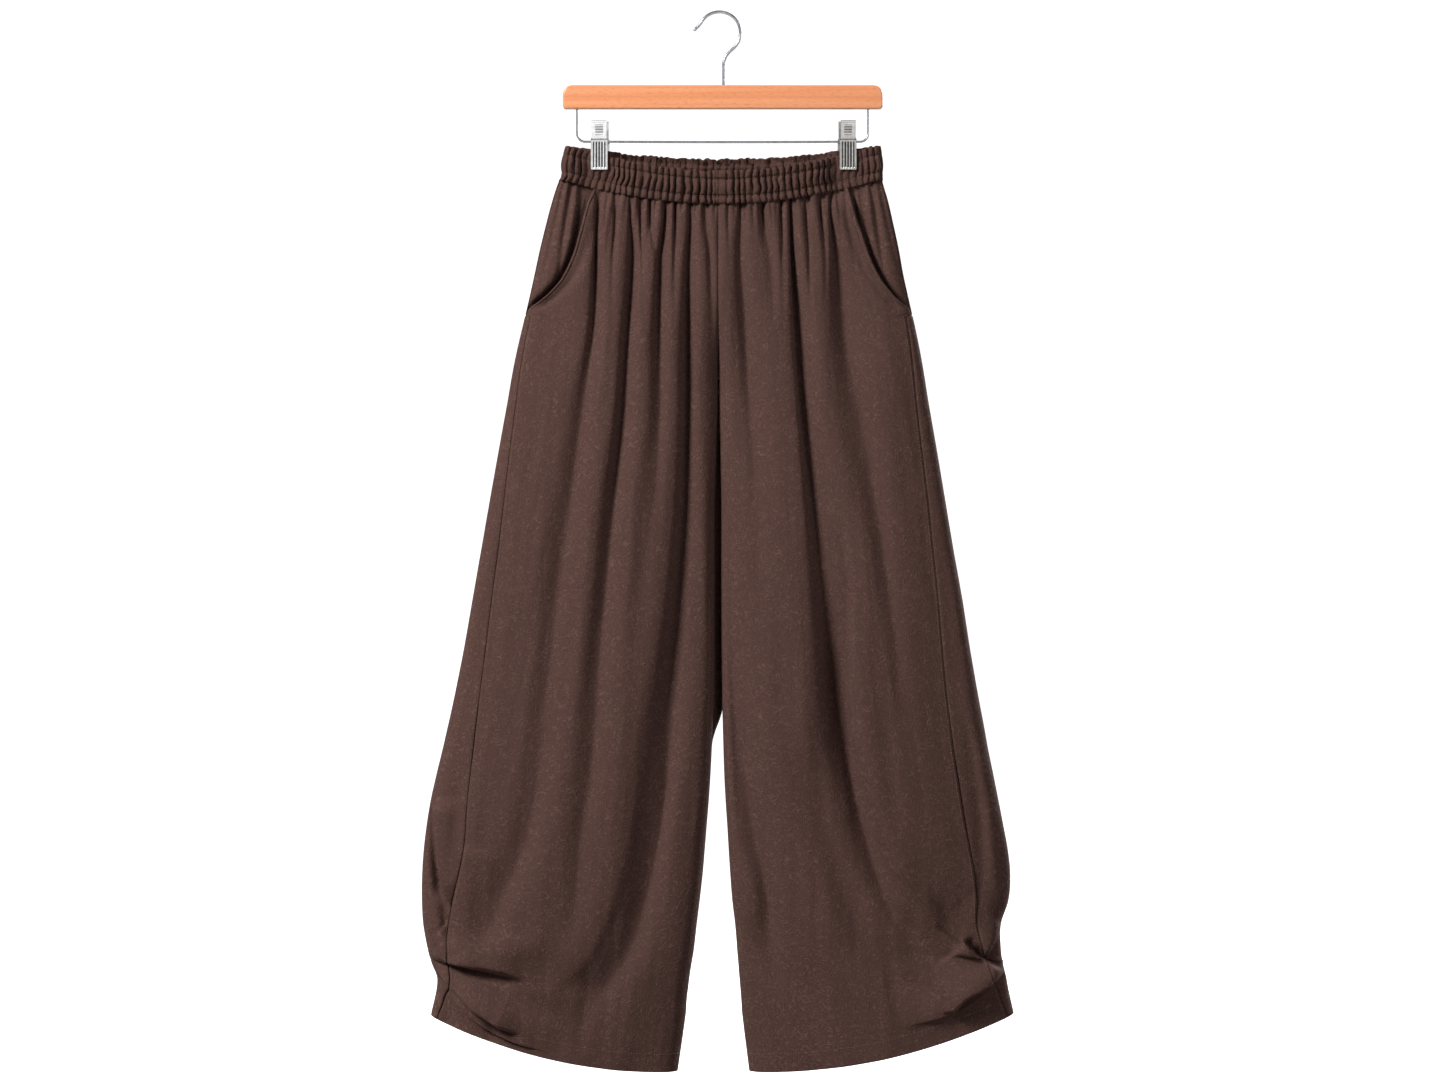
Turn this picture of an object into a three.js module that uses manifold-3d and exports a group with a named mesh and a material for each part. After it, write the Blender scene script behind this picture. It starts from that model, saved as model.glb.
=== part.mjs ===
// Balloon pants hung by the waistband from a wooden clip hanger.
// Millimetres, +Z up, the wearer's front towards -Y, the origin inside the top of the hook.
// Heights on the garment are given as a drop below the origin. The viewer's left is side -1.
import * as THREE from "three";
import { mergeVertices } from "three/addons/utils/BufferGeometryUtils.js";
import Module from "manifold-3d";

const wasm = await Module();
wasm.setup();

// Driving sizes of the garment
const garmentX = 2.2; // the garment hangs this far right of the hook's centre line
const clothWall = 1.6;
const bandWall = 2.2;
const seamGap = 0.3;
const leftBackCutDrop = 680;
const waistHalfWidth = 173;
const waistSideDrop = 181.8; // seam between band and legs, at the side
const waistFrontSag = 26.8; // how much lower the same seam hangs at centre front
const waistBackSag = 13.2;
const crotchDrop = 424;
const forkStartDrop = 285; // where the centre seams start to draw in towards the crotch
const edgeRadiusIn = 15; // half width of the rounded fold along the inside leg
const edgeRadiusOut = 13; // the same along the outline
const filletLength = 36; // way round the fold at the outline, front to back

// Driving sizes of the hanger
const hookWireRadius = 1.75;
const hookInnerRadius = 21.1;
const stemX = 4.6;
const bar = { left: -171, right: 178.2, top: -78.5, bottom: -104.7, depth: 12 };
const wire = { left: -155.4, right: 162.4, radius: 1.25, drop: 140.1, corner: 9 };
const clip = { left: -131.2, right: 140.3, width: 18.4, jawInside: 4.6, plate: 1.2, jawBottom: -170.9 };
const boreClearance = 0.35;
const stemInBar = 16;
const wireInBar = 10;
const rearPlateShift = 2; // the rear plates sit nearer the middle

// Outline of the garment: distance of the outer edge and of the inner edge from the centre line
const outline = [
  { drop: 144, left: 169.5, right: 173.0, innerLeft: 3.3, innerRight: -3.3 },
  { drop: 160, left: 174.0, right: 175.5, innerLeft: 3.3, innerRight: -3.3 },
  { drop: 178, left: 174.5, right: 175.5, innerLeft: 3.3, innerRight: -3.3 },
  { drop: 184, left: 176.5, right: 175.5, innerLeft: 3.3, innerRight: -3.3 },
  { drop: 204, left: 184.0, right: 181.8, innerLeft: 3.3, innerRight: -3.3 },
  { drop: 258, left: 198.2, right: 193.8, innerLeft: 3.3, innerRight: -3.3 },
  { drop: 313, left: 210.2, right: 204.8, innerLeft: 3.3, innerRight: -3.3 },
  { drop: 422, left: 233.1, right: 225.5, innerLeft: 3.6, innerRight: -3.0 },
  { drop: 531, left: 252.8, right: 244.1, innerLeft: 7.6, innerRight: -0.5 },
  { drop: 640, left: 271.4, right: 262.6, innerLeft: 7.6, innerRight: -0.5 },
  { drop: 750, left: 292.1, right: 281.2, innerLeft: 8.4, innerRight: 0.5 },
  { drop: 832, left: 308.5, right: 295.4, innerLeft: 11.5, innerRight: 2.7 },
  { drop: 886, left: 319.4, right: 304.1, innerLeft: 15.8, innerRight: 6.0 },
  { drop: 941, left: 324.9, right: 312.9, innerLeft: 20.2, innerRight: 9.3 },
  { drop: 968, left: 326.0, right: 311.8, innerLeft: 23.5, innerRight: 11.5 },
  { drop: 995, left: 326.0, right: 304.1, innerLeft: 26.8, innerRight: 14.7 },
  { drop: 1023, left: 320.5, right: 305.2, innerLeft: 30.0, innerRight: 16.9 },
  { drop: 1050, left: 308.5, right: 310.7, innerLeft: 34.4, innerRight: 19.1 },
  { drop: 1077, left: 313.9, right: 316.1, innerLeft: 37.7, innerRight: 21.3 },
  { drop: 1093, left: 317.2, right: 319.4, innerLeft: 38.8, innerRight: 22.4 },
  { drop: 1154, left: 321.0, right: 323.0, innerLeft: 47.5, innerRight: 30.0 },
];

// Half thickness of the hung garment, front to back: at its edges and at the middle of each leg
const thickness = [
  { drop: 144, edge: 6, middle: 13 },
  { drop: 184, edge: 7.5, middle: 18 },
  { drop: 230, edge: 9, middle: 23 },
  { drop: 313, edge: 11, middle: 30 },
  { drop: 422, edge: 13, middle: 35 },
  { drop: 640, edge: 15, middle: 41 },
  { drop: 850, edge: 17, middle: 47 },
  { drop: 968, edge: 18, middle: 48 },
  { drop: 1093, edge: 15, middle: 42 },
  { drop: 1154, edge: 14, middle: 39 },
];

// Where the side seam runs on the front: its share of the way from the inner edge to the outline
const sideSeam = [
  { drop: 330, left: 0.97, right: 0.965 },
  { drop: 450, left: 0.95, right: 0.933 },
  { drop: 570, left: 0.924, right: 0.912 },
  { drop: 655, left: 0.914, right: 0.893 },
  { drop: 760, left: 0.895, right: 0.87 },
  { drop: 860, left: 0.862, right: 0.858 },
  { drop: 915, left: 0.853, right: 0.86 },
  { drop: 970, left: 0.885, right: 0.88 },
  { drop: 1010, left: 0.915, right: 0.92 },
  { drop: 1093, left: 0.97, right: 0.97 },
];

// Pocket edge: how far from the centre line it runs, at each drop
const pocketEdge = [
  { drop: 170, left: 137.0, right: 135.5 },
  { drop: 185, left: 138.1, right: 137.0 },
  { drop: 210, left: 146.9, right: 143.0 },
  { drop: 239, left: 154.5, right: 152.0 },
  { drop: 265, left: 162.2, right: 161.0 },
  { drop: 290, left: 174.2, right: 173.0 },
  { drop: 303, left: 185.1, right: 183.0 },
  { drop: 313, left: 196.0, right: 192.0 },
  { drop: 321, left: 208.0, right: 203.0 },
];

// Long hanging folds of each front leg, from the centre out: the valley's share of the leg's width at
// six drops, its depth there, and its half width towards the centre and away from it
const foldDrops = [215, 300, 440, 640, 850, 1060];
const frontFolds = {
  left: [
    { at: [0.165, 0.16, 0.15, 0.16, 0.172, 0.28], deep: [4, 8, 9, 9, 9, 4], inward: 7, outward: 16 },
    { at: [0.31, 0.3, 0.275, 0.27, 0.27, 0.3], deep: [5, 9, 5, 1, 0, 0], inward: 7, outward: 13 },
    { at: [0.51, 0.46, 0.455, 0.458, 0.445, 0.5], deep: [5, 9, 8, 7, 7, 3], inward: 8, outward: 16 },
    { at: [0.69, 0.655, 0.645, 0.637, 0.64, 0.7], deep: [4, 8, 6, 6, 7, 3], inward: 8, outward: 17 },
  ],
  right: [
    { at: [0.14, 0.12, 0.15, 0.1, 0.08, 0.2], deep: [4, 4, 3, 1, 5, 5], inward: 8, outward: 12 },
    { at: [0.27, 0.28, 0.28, 0.28, 0.28, 0.3], deep: [4, 4, 1, 0, 0, 0], inward: 8, outward: 12 },
    { at: [0.44, 0.41, 0.395, 0.41, 0.47, 0.64], deep: [4, 11, 11, 11, 11, 6], inward: 7, outward: 17 },
    { at: [0.7, 0.64, 0.655, 0.66, 0.66, 0.7], deep: [5, 9, 6, 2, 0, 0], inward: 8, outward: 16 },
  ],
};
// The same on the back, laid a little differently
const backFolds = {
  left: [
    { at: [0.12, 0.14, 0.16, 0.18, 0.2, 0.28], deep: [4, 7, 7, 8, 8, 4], inward: 8, outward: 16 },
    { at: [0.36, 0.35, 0.36, 0.38, 0.4, 0.46], deep: [5, 8, 8, 8, 7, 4], inward: 8, outward: 16 },
    { at: [0.62, 0.6, 0.6, 0.6, 0.62, 0.68], deep: [5, 8, 7, 6, 6, 3], inward: 8, outward: 17 },
  ],
  right: [
    { at: [0.15, 0.16, 0.17, 0.17, 0.18, 0.24], deep: [4, 7, 8, 8, 8, 4], inward: 8, outward: 16 },
    { at: [0.4, 0.39, 0.38, 0.38, 0.41, 0.5], deep: [5, 8, 7, 8, 8, 4], inward: 8, outward: 16 },
    { at: [0.65, 0.63, 0.62, 0.63, 0.65, 0.7], deep: [5, 8, 8, 7, 5, 3], inward: 8, outward: 17 },
  ],
};

// Gathers: how many across each leg panel and each half of the band, and how deep they are
const frontGathers = 11;
const backGathers = 8;
const gatherDepth = 2.8;
const gatherRun = 70; // they have run out this far below the band
const bandGathers = 44;
const bandTopSideDrop = 144.7;
const bandTopFrontSag = 28.4;
const bandTopBackSag = 13;
const pinchedHalf = 3.1; // half thickness between the jaws
const pinchEnd = 182; // the cloth starts to open again below this drop
const leastHalf = 4.8; // what the folds and gathers leave of the half thickness

// Rows of the band: share of its height, how far it stands out, and the depth of its gathers
const bandRows = [
  { share: 0, out: 0.5, gather: 1.1 },
  { share: 0.2, out: 0.4, gather: 1.0 },
  { share: 0.72, out: 1.2, gather: 1.4 },
  { share: 1, out: 0.8, gather: 1.2 },
];

// Pocket pieces
const pocketSeamPlace = 2.4; // above the pocket's end the side seam lies at the outline
const pocketRows = 6; // rows of the front that the hip piece runs behind
const pocketFirstColumn = 15;
const pocketWall = 1.2;

// Lines across each leg near the hem: drop at the inner edge and at the outline, and how late the line
// rises or falls towards the outline
const hemLines = {
  left: {
    upperTuck: { inner: 1061, outer: 1028, power: 2 },
    lowerTuck: { inner: 1134, outer: 1049, power: 4.2 },
    hem: { inner: 1154, outer: 1093, power: 2 },
  },
  right: {
    upperTuck: { inner: 1006, outer: 1034, power: 3 },
    lowerTuck: { inner: 1104, outer: 1044, power: 5 },
    hem: { inner: 1154, outer: 1091, power: 2 },
  },
};

// Rows of the leg panels, top to bottom. The first three count from the waist seam.
const seamRows = [
  { inner: 0, outer: 0 },
  { inner: 14, outer: 13 },
  { inner: 34, outer: 36 },
];
const openRows = [
  { inner: 268, outer: 258 },
  { inner: 303, outer: 300 },
  { inner: 345, outer: 345 },
  { inner: 385, outer: 385 },
  { inner: 422, outer: 425 },
  { inner: 480, outer: 480 },
  { inner: 560, outer: 560 },
  { inner: 650, outer: 650 },
  { inner: 740, outer: 735 },
  { inner: 820, outer: 810 },
  { inner: 885, outer: 872 },
];
// In the tucks a row lies part of the way from one line to the next, stands out in front of the leg, and
// may be drawn up behind the tuck's edge
const tuckRows = [
  { from: "upperTuck", shift: -70, out: 3, reach: "upper" },
  { from: "upperTuck", shift: -30, out: 7, reach: "upper" },
  { from: "upperTuck", out: 8, reach: "upper" },
  { from: "upperTuck", to: "lowerTuck", share: 0.14, out: -1, up: 3, reach: "upper" },
  { from: "upperTuck", to: "lowerTuck", share: 0.5, out: 7, reach: "lower" },
  { from: "upperTuck", to: "lowerTuck", share: 0.85, out: 13, reach: "lower" },
  { from: "lowerTuck", out: 12, reach: "lower" },
  { from: "lowerTuck", to: "hem", share: 0.14, out: 7, up: 7, reach: "lower" },
  { from: "lowerTuck", to: "hem", share: 0.3, out: 0, up: 10, reach: "lower" },
  { from: "lowerTuck", to: "hem", share: 0.6, out: -1, up: 2, reach: "lower" },
  { from: "hem", out: 0, reach: "lower" },
];
// How far the tucks reach in from the outline, as shares of the leg's width
const tuckReach = { upper: { start: 0.56, full: 0.84 }, lower: { start: 0.5, full: 0.8 } };
const tuckAtOutline = 0.3; // share of a tuck's bulge left at the outline

// Colours and finishes
const cloth = () => new THREE.MeshStandardMaterial({ color: 0x4f3a35, roughness: 0.9, metalness: 0 });
const bandCloth = () => new THREE.MeshStandardMaterial({ color: 0x49352f, roughness: 0.92, metalness: 0 });
const beech = () => new THREE.MeshStandardMaterial({ color: 0xe89d70, roughness: 0.45, metalness: 0 });
const steel = () => new THREE.MeshStandardMaterial({ color: 0xb9babc, roughness: 0.3, metalness: 1 });

// Helpers for tables and smooth steps
const mix = (a, b, share) => a + (b - a) * share;
const clamp = (value, low, high) => Math.min(high, Math.max(low, value));
const smooth = (from, to, value) => {
  const share = clamp((value - from) / (to - from), 0, 1);
  return share * share * (3 - 2 * share);
};
const sideName = (side) => (side < 0 ? "left" : "right");

// The value of a column at a drop: a smooth curve through the rows of a table
function tableAt(table, column, drop) {
  const last = table.length - 1;
  let row = 0;
  while (row < last - 1 && drop > table[row + 1].drop) row++;
  const span = table[row + 1].drop - table[row].drop;
  const share = clamp((drop - table[row].drop) / span, 0, 1);
  const slope = (index) => {
    const before = table[Math.max(index - 1, 0)];
    const after = table[Math.min(index + 1, last)];
    return (after[column] - before[column]) / (after.drop - before.drop);
  };
  const square = share * share;
  const cube = square * share;
  return (
    (2 * cube - 3 * square + 1) * table[row][column] +
    (cube - 2 * square + share) * span * slope(row) +
    (3 * square - 2 * cube) * table[row + 1][column] +
    (cube - square) * span * slope(row + 1)
  );
}

// The same for one list of values at the fold drops
function foldValue(values, drop) {
  const rows = foldDrops.map((at, index) => ({ drop: at, value: values[index] }));
  return tableAt(rows, "value", clamp(drop, foldDrops[0], foldDrops.at(-1)));
}

// Shape of the hung garment
// The outline table gives the two edges; the halves stay half a seam gap off the line between them
function innerDistance(side, drop) {
  return tableAt(outline, side < 0 ? "innerLeft" : "innerRight", drop) + seamGap / 2;
}

function legWidth(side, drop) {
  return tableAt(outline, sideName(side), drop) - innerDistance(side, drop);
}

// A place round half of the garment is a number from 0 to 5: 0 to 1 the fold at the centre or inside leg,
// 1 to 2 the front, 2 to 3 the fold at the outline, 3 to 4 the back, 4 to 5 the inner fold again.
function halfSection(side, place, drop) {
  const inner = innerDistance(side, drop);
  const width = legWidth(side, drop);
  const edge = tableAt(thickness, "edge", drop);
  const middle = tableAt(thickness, "middle", drop);
  const joined = joinedShare(drop);
  const fromInner = place <= 2.5 ? place : 5 - place;
  const rIn = edgeRadiusIn / width;
  const rOut = edgeRadiusOut / width;
  let share = mix(rIn, 1 - rOut, fromInner - 1);
  let rim = 1;
  if (fromInner < 1) {
    const angle = (fromInner * Math.PI) / 2;
    share = rIn * mix(1 - Math.cos(angle), fromInner, joined);
    rim = mix(Math.sin(angle), 1, joined);
  } else if (fromInner > 2) {
    const angle = (fromInner - 2) * Math.PI;
    share = 1 - rOut * (1 - Math.sin(angle));
    rim = Math.cos(angle);
  }
  const swellLeg = Math.sin(Math.PI * clamp(share, 0, 1)) ** 0.75;
  const swellHip = Math.max(Math.cos((Math.PI / 2) * clamp(share, 0, 1)), 0) ** 0.75;
  const full = edge * rim + (middle - edge) * mix(swellLeg, swellHip, joined);
  const x = side * (inner + width * share);
  return { x, depth: pinchedDepth(x, full, rim, drop), face: place <= 2.5 ? -1 : 1, share, rim, width };
}

// 1 where left and right halves are one body, 0 where they are two legs
function joinedShare(drop) {
  return 1 - smooth(forkStartDrop, crotchDrop, drop);
}

// The clips squeeze both layers together, and the cloth opens again below them
function pinchedDepth(x, depth, rim, drop) {
  const clipX = (x < 0 ? clip.left : clip.right) - garmentX;
  const hold = (1 - smooth(11, 36, Math.abs(x - clipX))) * (1 - smooth(pinchEnd, pinchEnd + 32, drop));
  return mix(depth, Math.min(depth, pinchedHalf * rim), hold);
}

// How far the long folds draw the cloth in at a place
function foldDepth(side, section, drop) {
  const folds = (section.face < 0 ? frontFolds : backFolds)[sideName(side)];
  let depth = 0;
  for (const fold of folds) {
    const distance = (section.share - foldValue(fold.at, drop)) * section.width;
    const reach = distance > 0 ? fold.outward : fold.inward;
    depth += foldValue(fold.deep, drop) * Math.exp(-((distance / reach) ** 2));
  }
  return depth * smooth(0, 0.07, section.share) * (1 - smooth(0.93, 1, section.share));
}

// Drop of an edge of the band at a distance from the centre line, hanging lower in the middle
function saggingDrop(sideDrop, sag, x) {
  const share = clamp(Math.abs(x) / waistHalfWidth, 0, 1);
  return sideDrop + sag * (1 - share * share) ** 1.2;
}

function waistSeamDrop(x, face) {
  return saggingDrop(waistSideDrop, face < 0 ? waistFrontSag : waistBackSag, x);
}

// Drop of a line across the leg at a share of the leg's width
function lineDrop(line, share) {
  return mix(line.inner, line.outer, share ** (line.power || 2));
}

// Drop of a row of the leg panels at a share of the width, before any tuck moves it
function rowDrop(side, row, share, seamDrop) {
  if (row.belowSeam) return seamDrop + mix(row.inner, row.outer, share);
  if (!row.from) return lineDrop(row, share);
  const lines = hemLines[sideName(side)];
  const start = lineDrop(lines[row.from], share) + (row.shift || 0);
  return row.to ? mix(start, lineDrop(lines[row.to], share), row.share) : start;
}

function legRows() {
  return [...seamRows.map((row) => ({ ...row, belowSeam: true })), ...openRows, ...tuckRows];
}

// One point of a leg panel: a row of the tables, a place round the half section and a gather wave
function legPoint(side, place, row, wave) {
  const guess = halfSection(side, place, rowDrop(side, row, 0.5, waistSideDrop));
  const seamDrop = waistSeamDrop(guess.x, guess.face) + seamGap + 0.1;
  const plainDrop = rowDrop(side, row, guess.share, seamDrop);
  const section = halfSection(side, place, plainDrop);
  const reach = tuckReach[row.reach || "lower"];
  const held = mix(1, tuckAtOutline, smooth(0.88, 1, section.share));
  const inTuck = smooth(reach.start, reach.full, section.share) * held;
  const run = 1 - smooth(0, gatherRun, plainDrop - seamDrop);
  const gather = gatherDepth * run * wave * clamp(section.depth / 14, 0, 1);
  const moved = gather + (row.out || 0) * inTuck - foldDepth(side, section, plainDrop);
  const folded = Math.max(section.depth + moved * section.rim, Math.min(section.depth, leastHalf));
  const y = section.face * (folded + seamGap / 2);
  return new THREE.Vector3(section.x, y, (row.up || 0) * inTuck - plainDrop);
}

// Place of the side seam round the half section
function sideSeamPlace(side, drop) {
  if (drop < sideSeam[0].drop) return pocketSeamPlace;
  const width = legWidth(side, drop);
  const share = tableAt(sideSeam, sideName(side), Math.min(drop, sideSeam.at(-1).drop));
  const rIn = edgeRadiusIn / width;
  const rOut = edgeRadiusOut / width;
  if (share > 1 - rOut) return 2 + Math.asin(1 - (1 - share) / rOut) / Math.PI;
  return 1 + (share - rIn) / (1 - rOut - rIn);
}

// The place half a seam gap before the side seam, or after it
function besideSeam(side, drop, after) {
  const place = sideSeamPlace(side, drop);
  const lengthOfOnePlace = place > 2 ? filletLength : legWidth(side, drop);
  return place + (after * seamGap) / 2 / lengthOfOnePlace;
}

// Walls
// A grid is a list of rows, each a list of { point, normal }. The wall runs from the points inwards.
// Turn is 1 where going down and then along a row winds round outwards, and -1 where it winds inwards.
function wallGeometry(grid, wall, turn, moveIn = 0) {
  const rows = grid.length;
  const columns = grid[0].length;
  const positions = [];
  const triangles = [];
  for (const depth of [moveIn, moveIn + wall]) {
    for (const row of grid) {
      for (const { point, normal, keep } of row) {
        const moved = point.clone().addScaledVector(normal, -depth);
        if (keep && depth > 0) moved.y = keep * Math.max(keep * moved.y, seamGap / 2);
        positions.push(moved.x, moved.y, moved.z);
      }
    }
  }
  const outer = (row, column) => row * columns + column;
  const inner = (row, column) => rows * columns + row * columns + column;
  const quad = (a, b, c, d) => {
    if (turn > 0) triangles.push(a, b, c, a, c, d);
    else triangles.push(a, c, b, a, d, c);
  };
  for (let row = 0; row < rows - 1; row++) {
    for (let column = 0; column < columns - 1; column++) {
      quad(outer(row, column), outer(row + 1, column), outer(row + 1, column + 1), outer(row, column + 1));
      quad(inner(row, column), inner(row, column + 1), inner(row + 1, column + 1), inner(row + 1, column));
    }
    quad(outer(row, 0), inner(row, 0), inner(row + 1, 0), outer(row + 1, 0));
    const last = columns - 1;
    quad(outer(row, last), outer(row + 1, last), inner(row + 1, last), inner(row, last));
  }
  for (let column = 0; column < columns - 1; column++) {
    quad(outer(0, column), outer(0, column + 1), inner(0, column + 1), inner(0, column));
    const last = rows - 1;
    quad(outer(last, column), inner(last, column), inner(last, column + 1), outer(last, column + 1));
  }
  const geometry = new THREE.BufferGeometry();
  geometry.setAttribute("position", new THREE.Float32BufferAttribute(positions, 3));
  geometry.setIndex(triangles);
  return geometry;
}

// Normals of a grid of points, from each point's neighbours
function gridNormals(points, outward) {
  return points.map((row, i) =>
    row.map((point, j) => {
      const next = row[Math.min(j + 1, row.length - 1)];
      const across = new THREE.Vector3().subVectors(next, row[Math.max(j - 1, 0)]);
      const above = points[Math.max(i - 1, 0)][j];
      const below = points[Math.min(i + 1, points.length - 1)][j];
      const down = new THREE.Vector3().subVectors(below, above);
      return down.cross(across).multiplyScalar(outward).normalize();
    }),
  );
}

// Solids
function solidFrom(geometry) {
  const plain = new THREE.BufferGeometry();
  plain.setAttribute("position", geometry.getAttribute("position"));
  plain.setIndex(geometry.index);
  const merged = mergeVertices(plain, 1e-4);
  const mesh = new wasm.Mesh({
    numProp: 3,
    vertProperties: merged.getAttribute("position").array,
    triVerts: new Uint32Array(merged.index.array),
  });
  return new wasm.Manifold(mesh);
}

function geometryFrom(solid) {
  const mesh = solid.getMesh();
  const geometry = new THREE.BufferGeometry();
  const positions = new Float32Array(mesh.numVert * 3);
  for (let vertex = 0; vertex < mesh.numVert; vertex++) {
    for (let axis = 0; axis < 3; axis++) {
      positions[vertex * 3 + axis] = mesh.vertProperties[vertex * mesh.numProp + axis];
    }
  }
  geometry.setAttribute("position", new THREE.BufferAttribute(positions, 3));
  geometry.setIndex(new THREE.BufferAttribute(mesh.triVerts, 1));
  return geometry;
}

function named(name, geometry, material) {
  geometry.computeVertexNormals();
  const mesh = new THREE.Mesh(geometry, material);
  mesh.name = name;
  return mesh;
}

// Leg panels
// Places gives the columns of a row at its drop; face is -1 on a front panel and 1 on a back panel
function panelGrid(side, face, places, waves) {
  const rows = legRows();
  const rowPlaces = rows.map((row) => places(rowDropAtSeam(side, row)));
  const points = rows.map((row, i) => rowPlaces[i].map((place, j) => legPoint(side, place, row, waves[j])));
  const seamColumn = face < 0 ? waves.length - 1 : 0;
  const innerColumn = face < 0 ? 0 : waves.length - 1;
  const normals = gridNormals(points, side);
  rows.forEach((row, i) => {
    // Both panels take the same normal at the side seam, so their edges stay apart
    const seamPlace = rowPlaces[i][seamColumn];
    const across = legPoint(side, seamPlace + 0.05, row, 0).sub(legPoint(side, seamPlace - 0.05, row, 0));
    const below = points[Math.min(i + 1, rows.length - 1)][seamColumn];
    const down = below.clone().sub(points[Math.max(i - 1, 0)][seamColumn]);
    normals[i][seamColumn] = down.cross(across).multiplyScalar(side).normalize();
    const joined = joinedShare(-points[i][innerColumn].z);
    normals[i][innerColumn].set(-side * (1 - joined), face * joined, 0).normalize();
  });
  return points.map((row, i) =>
    row.map((point, j) => {
      const place = rowPlaces[i][j];
      return { point, normal: normals[i][j], keep: place < 1 || place > 4 ? face : 0 };
    }),
  );
}

// The drop at which a row crosses the side seam, near enough to place the seam
function rowDropAtSeam(side, row) {
  return rowDrop(side, row, 0.9, waistSideDrop);
}

// Columns of a panel: ridges and valleys of its gathers in turn, and none at the folds and seams
const frontColumns = frontGathers * 2;
const frontWaves = [0, 0, 0];
for (let column = 0; column <= frontColumns; column++) frontWaves.push(column % 2 ? -1 : 1);
frontWaves[frontWaves.length - 1] = 0;

function frontPlaces(side) {
  return (drop) => {
    const seam = besideSeam(side, drop, -1);
    const places = [0, 0.35, 0.7];
    const width = legWidth(side, drop) - edgeRadiusIn - edgeRadiusOut;
    const length = width * (Math.min(seam, 2) - 1) + filletLength * Math.max(seam - 2, 0);
    for (let column = 0; column <= frontColumns; column++) {
      const along = (length * column) / frontColumns;
      places.push(along <= width ? 1 + along / width : 2 + (along - width) / filletLength);
    }
    return places;
  };
}

const backColumns = backGathers * 2;
const backWaves = [0, 0, 0, 0, 0, 0];
for (let column = 0; column <= backColumns; column++) backWaves.push(column % 2 ? -1 : 1);
backWaves.push(0, 0, 0);

function backPlaces(side) {
  return (drop) => {
    const seam = besideSeam(side, drop, 1);
    const places = [seam, mix(seam, 2.45, 0.35), mix(seam, 2.45, 0.7), 2.45, 2.55, 2.75];
    for (let column = 0; column <= backColumns; column++) places.push(3 + column / backColumns);
    places.push(4.3, 4.65, 5);
    return places;
  };
}

function frontPanel(side) {
  const grid = panelGrid(side, -1, frontPlaces(side), frontWaves);
  const panel = solidFrom(wallGeometry(grid, clothWall, side));
  return geometryFrom(panel.subtract(pocketCutter(side)));
}

function backPanel(side) {
  const grid = panelGrid(side, 1, backPlaces(side), backWaves);
  return wallGeometry(grid, clothWall, side);
}

// The left back panel in two lengths, so that collision can follow the hollow above and below
function leftBackLengths() {
  const panel = solidFrom(backPanel(-1));
  const upper = panel.trimByPlane([0, 0, 1], seamGap / 2 - leftBackCutDrop);
  const lower = panel.trimByPlane([0, 0, -1], seamGap / 2 + leftBackCutDrop);
  return [geometryFrom(upper), geometryFrom(lower)];
}

// What the slash pocket takes away from the front panel: all that lies outside its curved edge
function pocketCutter(side) {
  const beyond = 260;
  const outlineShape = new THREE.Shape();
  const edgeSteps = 14;
  const topDrop = pocketEdge[0].drop;
  const endDrop = pocketEdge.at(-1).drop;
  for (let step = 0; step <= edgeSteps; step++) {
    const drop = mix(topDrop, endDrop, Math.sin((step / edgeSteps) * (Math.PI / 2)));
    const x = side * tableAt(pocketEdge, sideName(side), drop);
    if (step === 0) outlineShape.moveTo(x, drop);
    else outlineShape.lineTo(x, drop);
  }
  outlineShape.lineTo(side * beyond, endDrop + 4);
  outlineShape.lineTo(side * beyond, topDrop - 20);
  outlineShape.closePath();
  const reach = 90;
  const geometry = new THREE.ExtrudeGeometry(outlineShape, { depth: 2 * reach, bevelEnabled: false });
  geometry.translate(0, 0, -reach);
  geometry.rotateX(-Math.PI / 2);
  return solidFrom(geometry);
}

// The hip piece behind a pocket: the front's own points moved in under it
function pocketBacking(side) {
  const grid = panelGrid(side, -1, frontPlaces(side), frontWaves);
  const rows = grid.slice(0, pocketRows).map((row) => row.slice(pocketFirstColumn));
  return wallGeometry(rows, pocketWall, side, clothWall + seamGap + 0.2);
}

// Waistband
// Stations round one face of the band at even distances, from the left outline to the right one
function bandStations(face) {
  const fine = 60;
  const walk = [];
  for (const side of [-1, 1]) {
    for (let step = 0; step <= fine; step++) {
      const fromInner = side < 0 ? 2.5 * (1 - step / fine) : 2.5 * (step / fine);
      const place = face < 0 ? fromInner : 5 - fromInner;
      const section = halfSection(side, Math.abs(place - 2.5) < 1e-9 ? 2.5 - 1e-9 * face : place, 178);
      walk.push({ side, fromInner, x: section.x, y: section.depth });
    }
  }
  let length = 0;
  for (let i = 0; i < walk.length; i++) {
    if (i) length += Math.hypot(walk[i].x - walk[i - 1].x, walk[i].y - walk[i - 1].y);
    walk[i].length = length;
  }
  const stations = [];
  const count = bandGathers * 2;
  for (let i = 0; i <= count; i++) {
    const target = (length * i) / count;
    let j = 1;
    while (j < walk.length - 1 && walk[j].length < target) j++;
    const a = walk[j - 1];
    const b = walk[j];
    const share = clamp((target - a.length) / Math.max(b.length - a.length, 1e-6), 0, 1);
    const fromInner = a.side === b.side ? mix(a.fromInner, b.fromInner, share) : 0;
    stations.push({ side: b.side, fromInner });
  }
  return stations;
}

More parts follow.
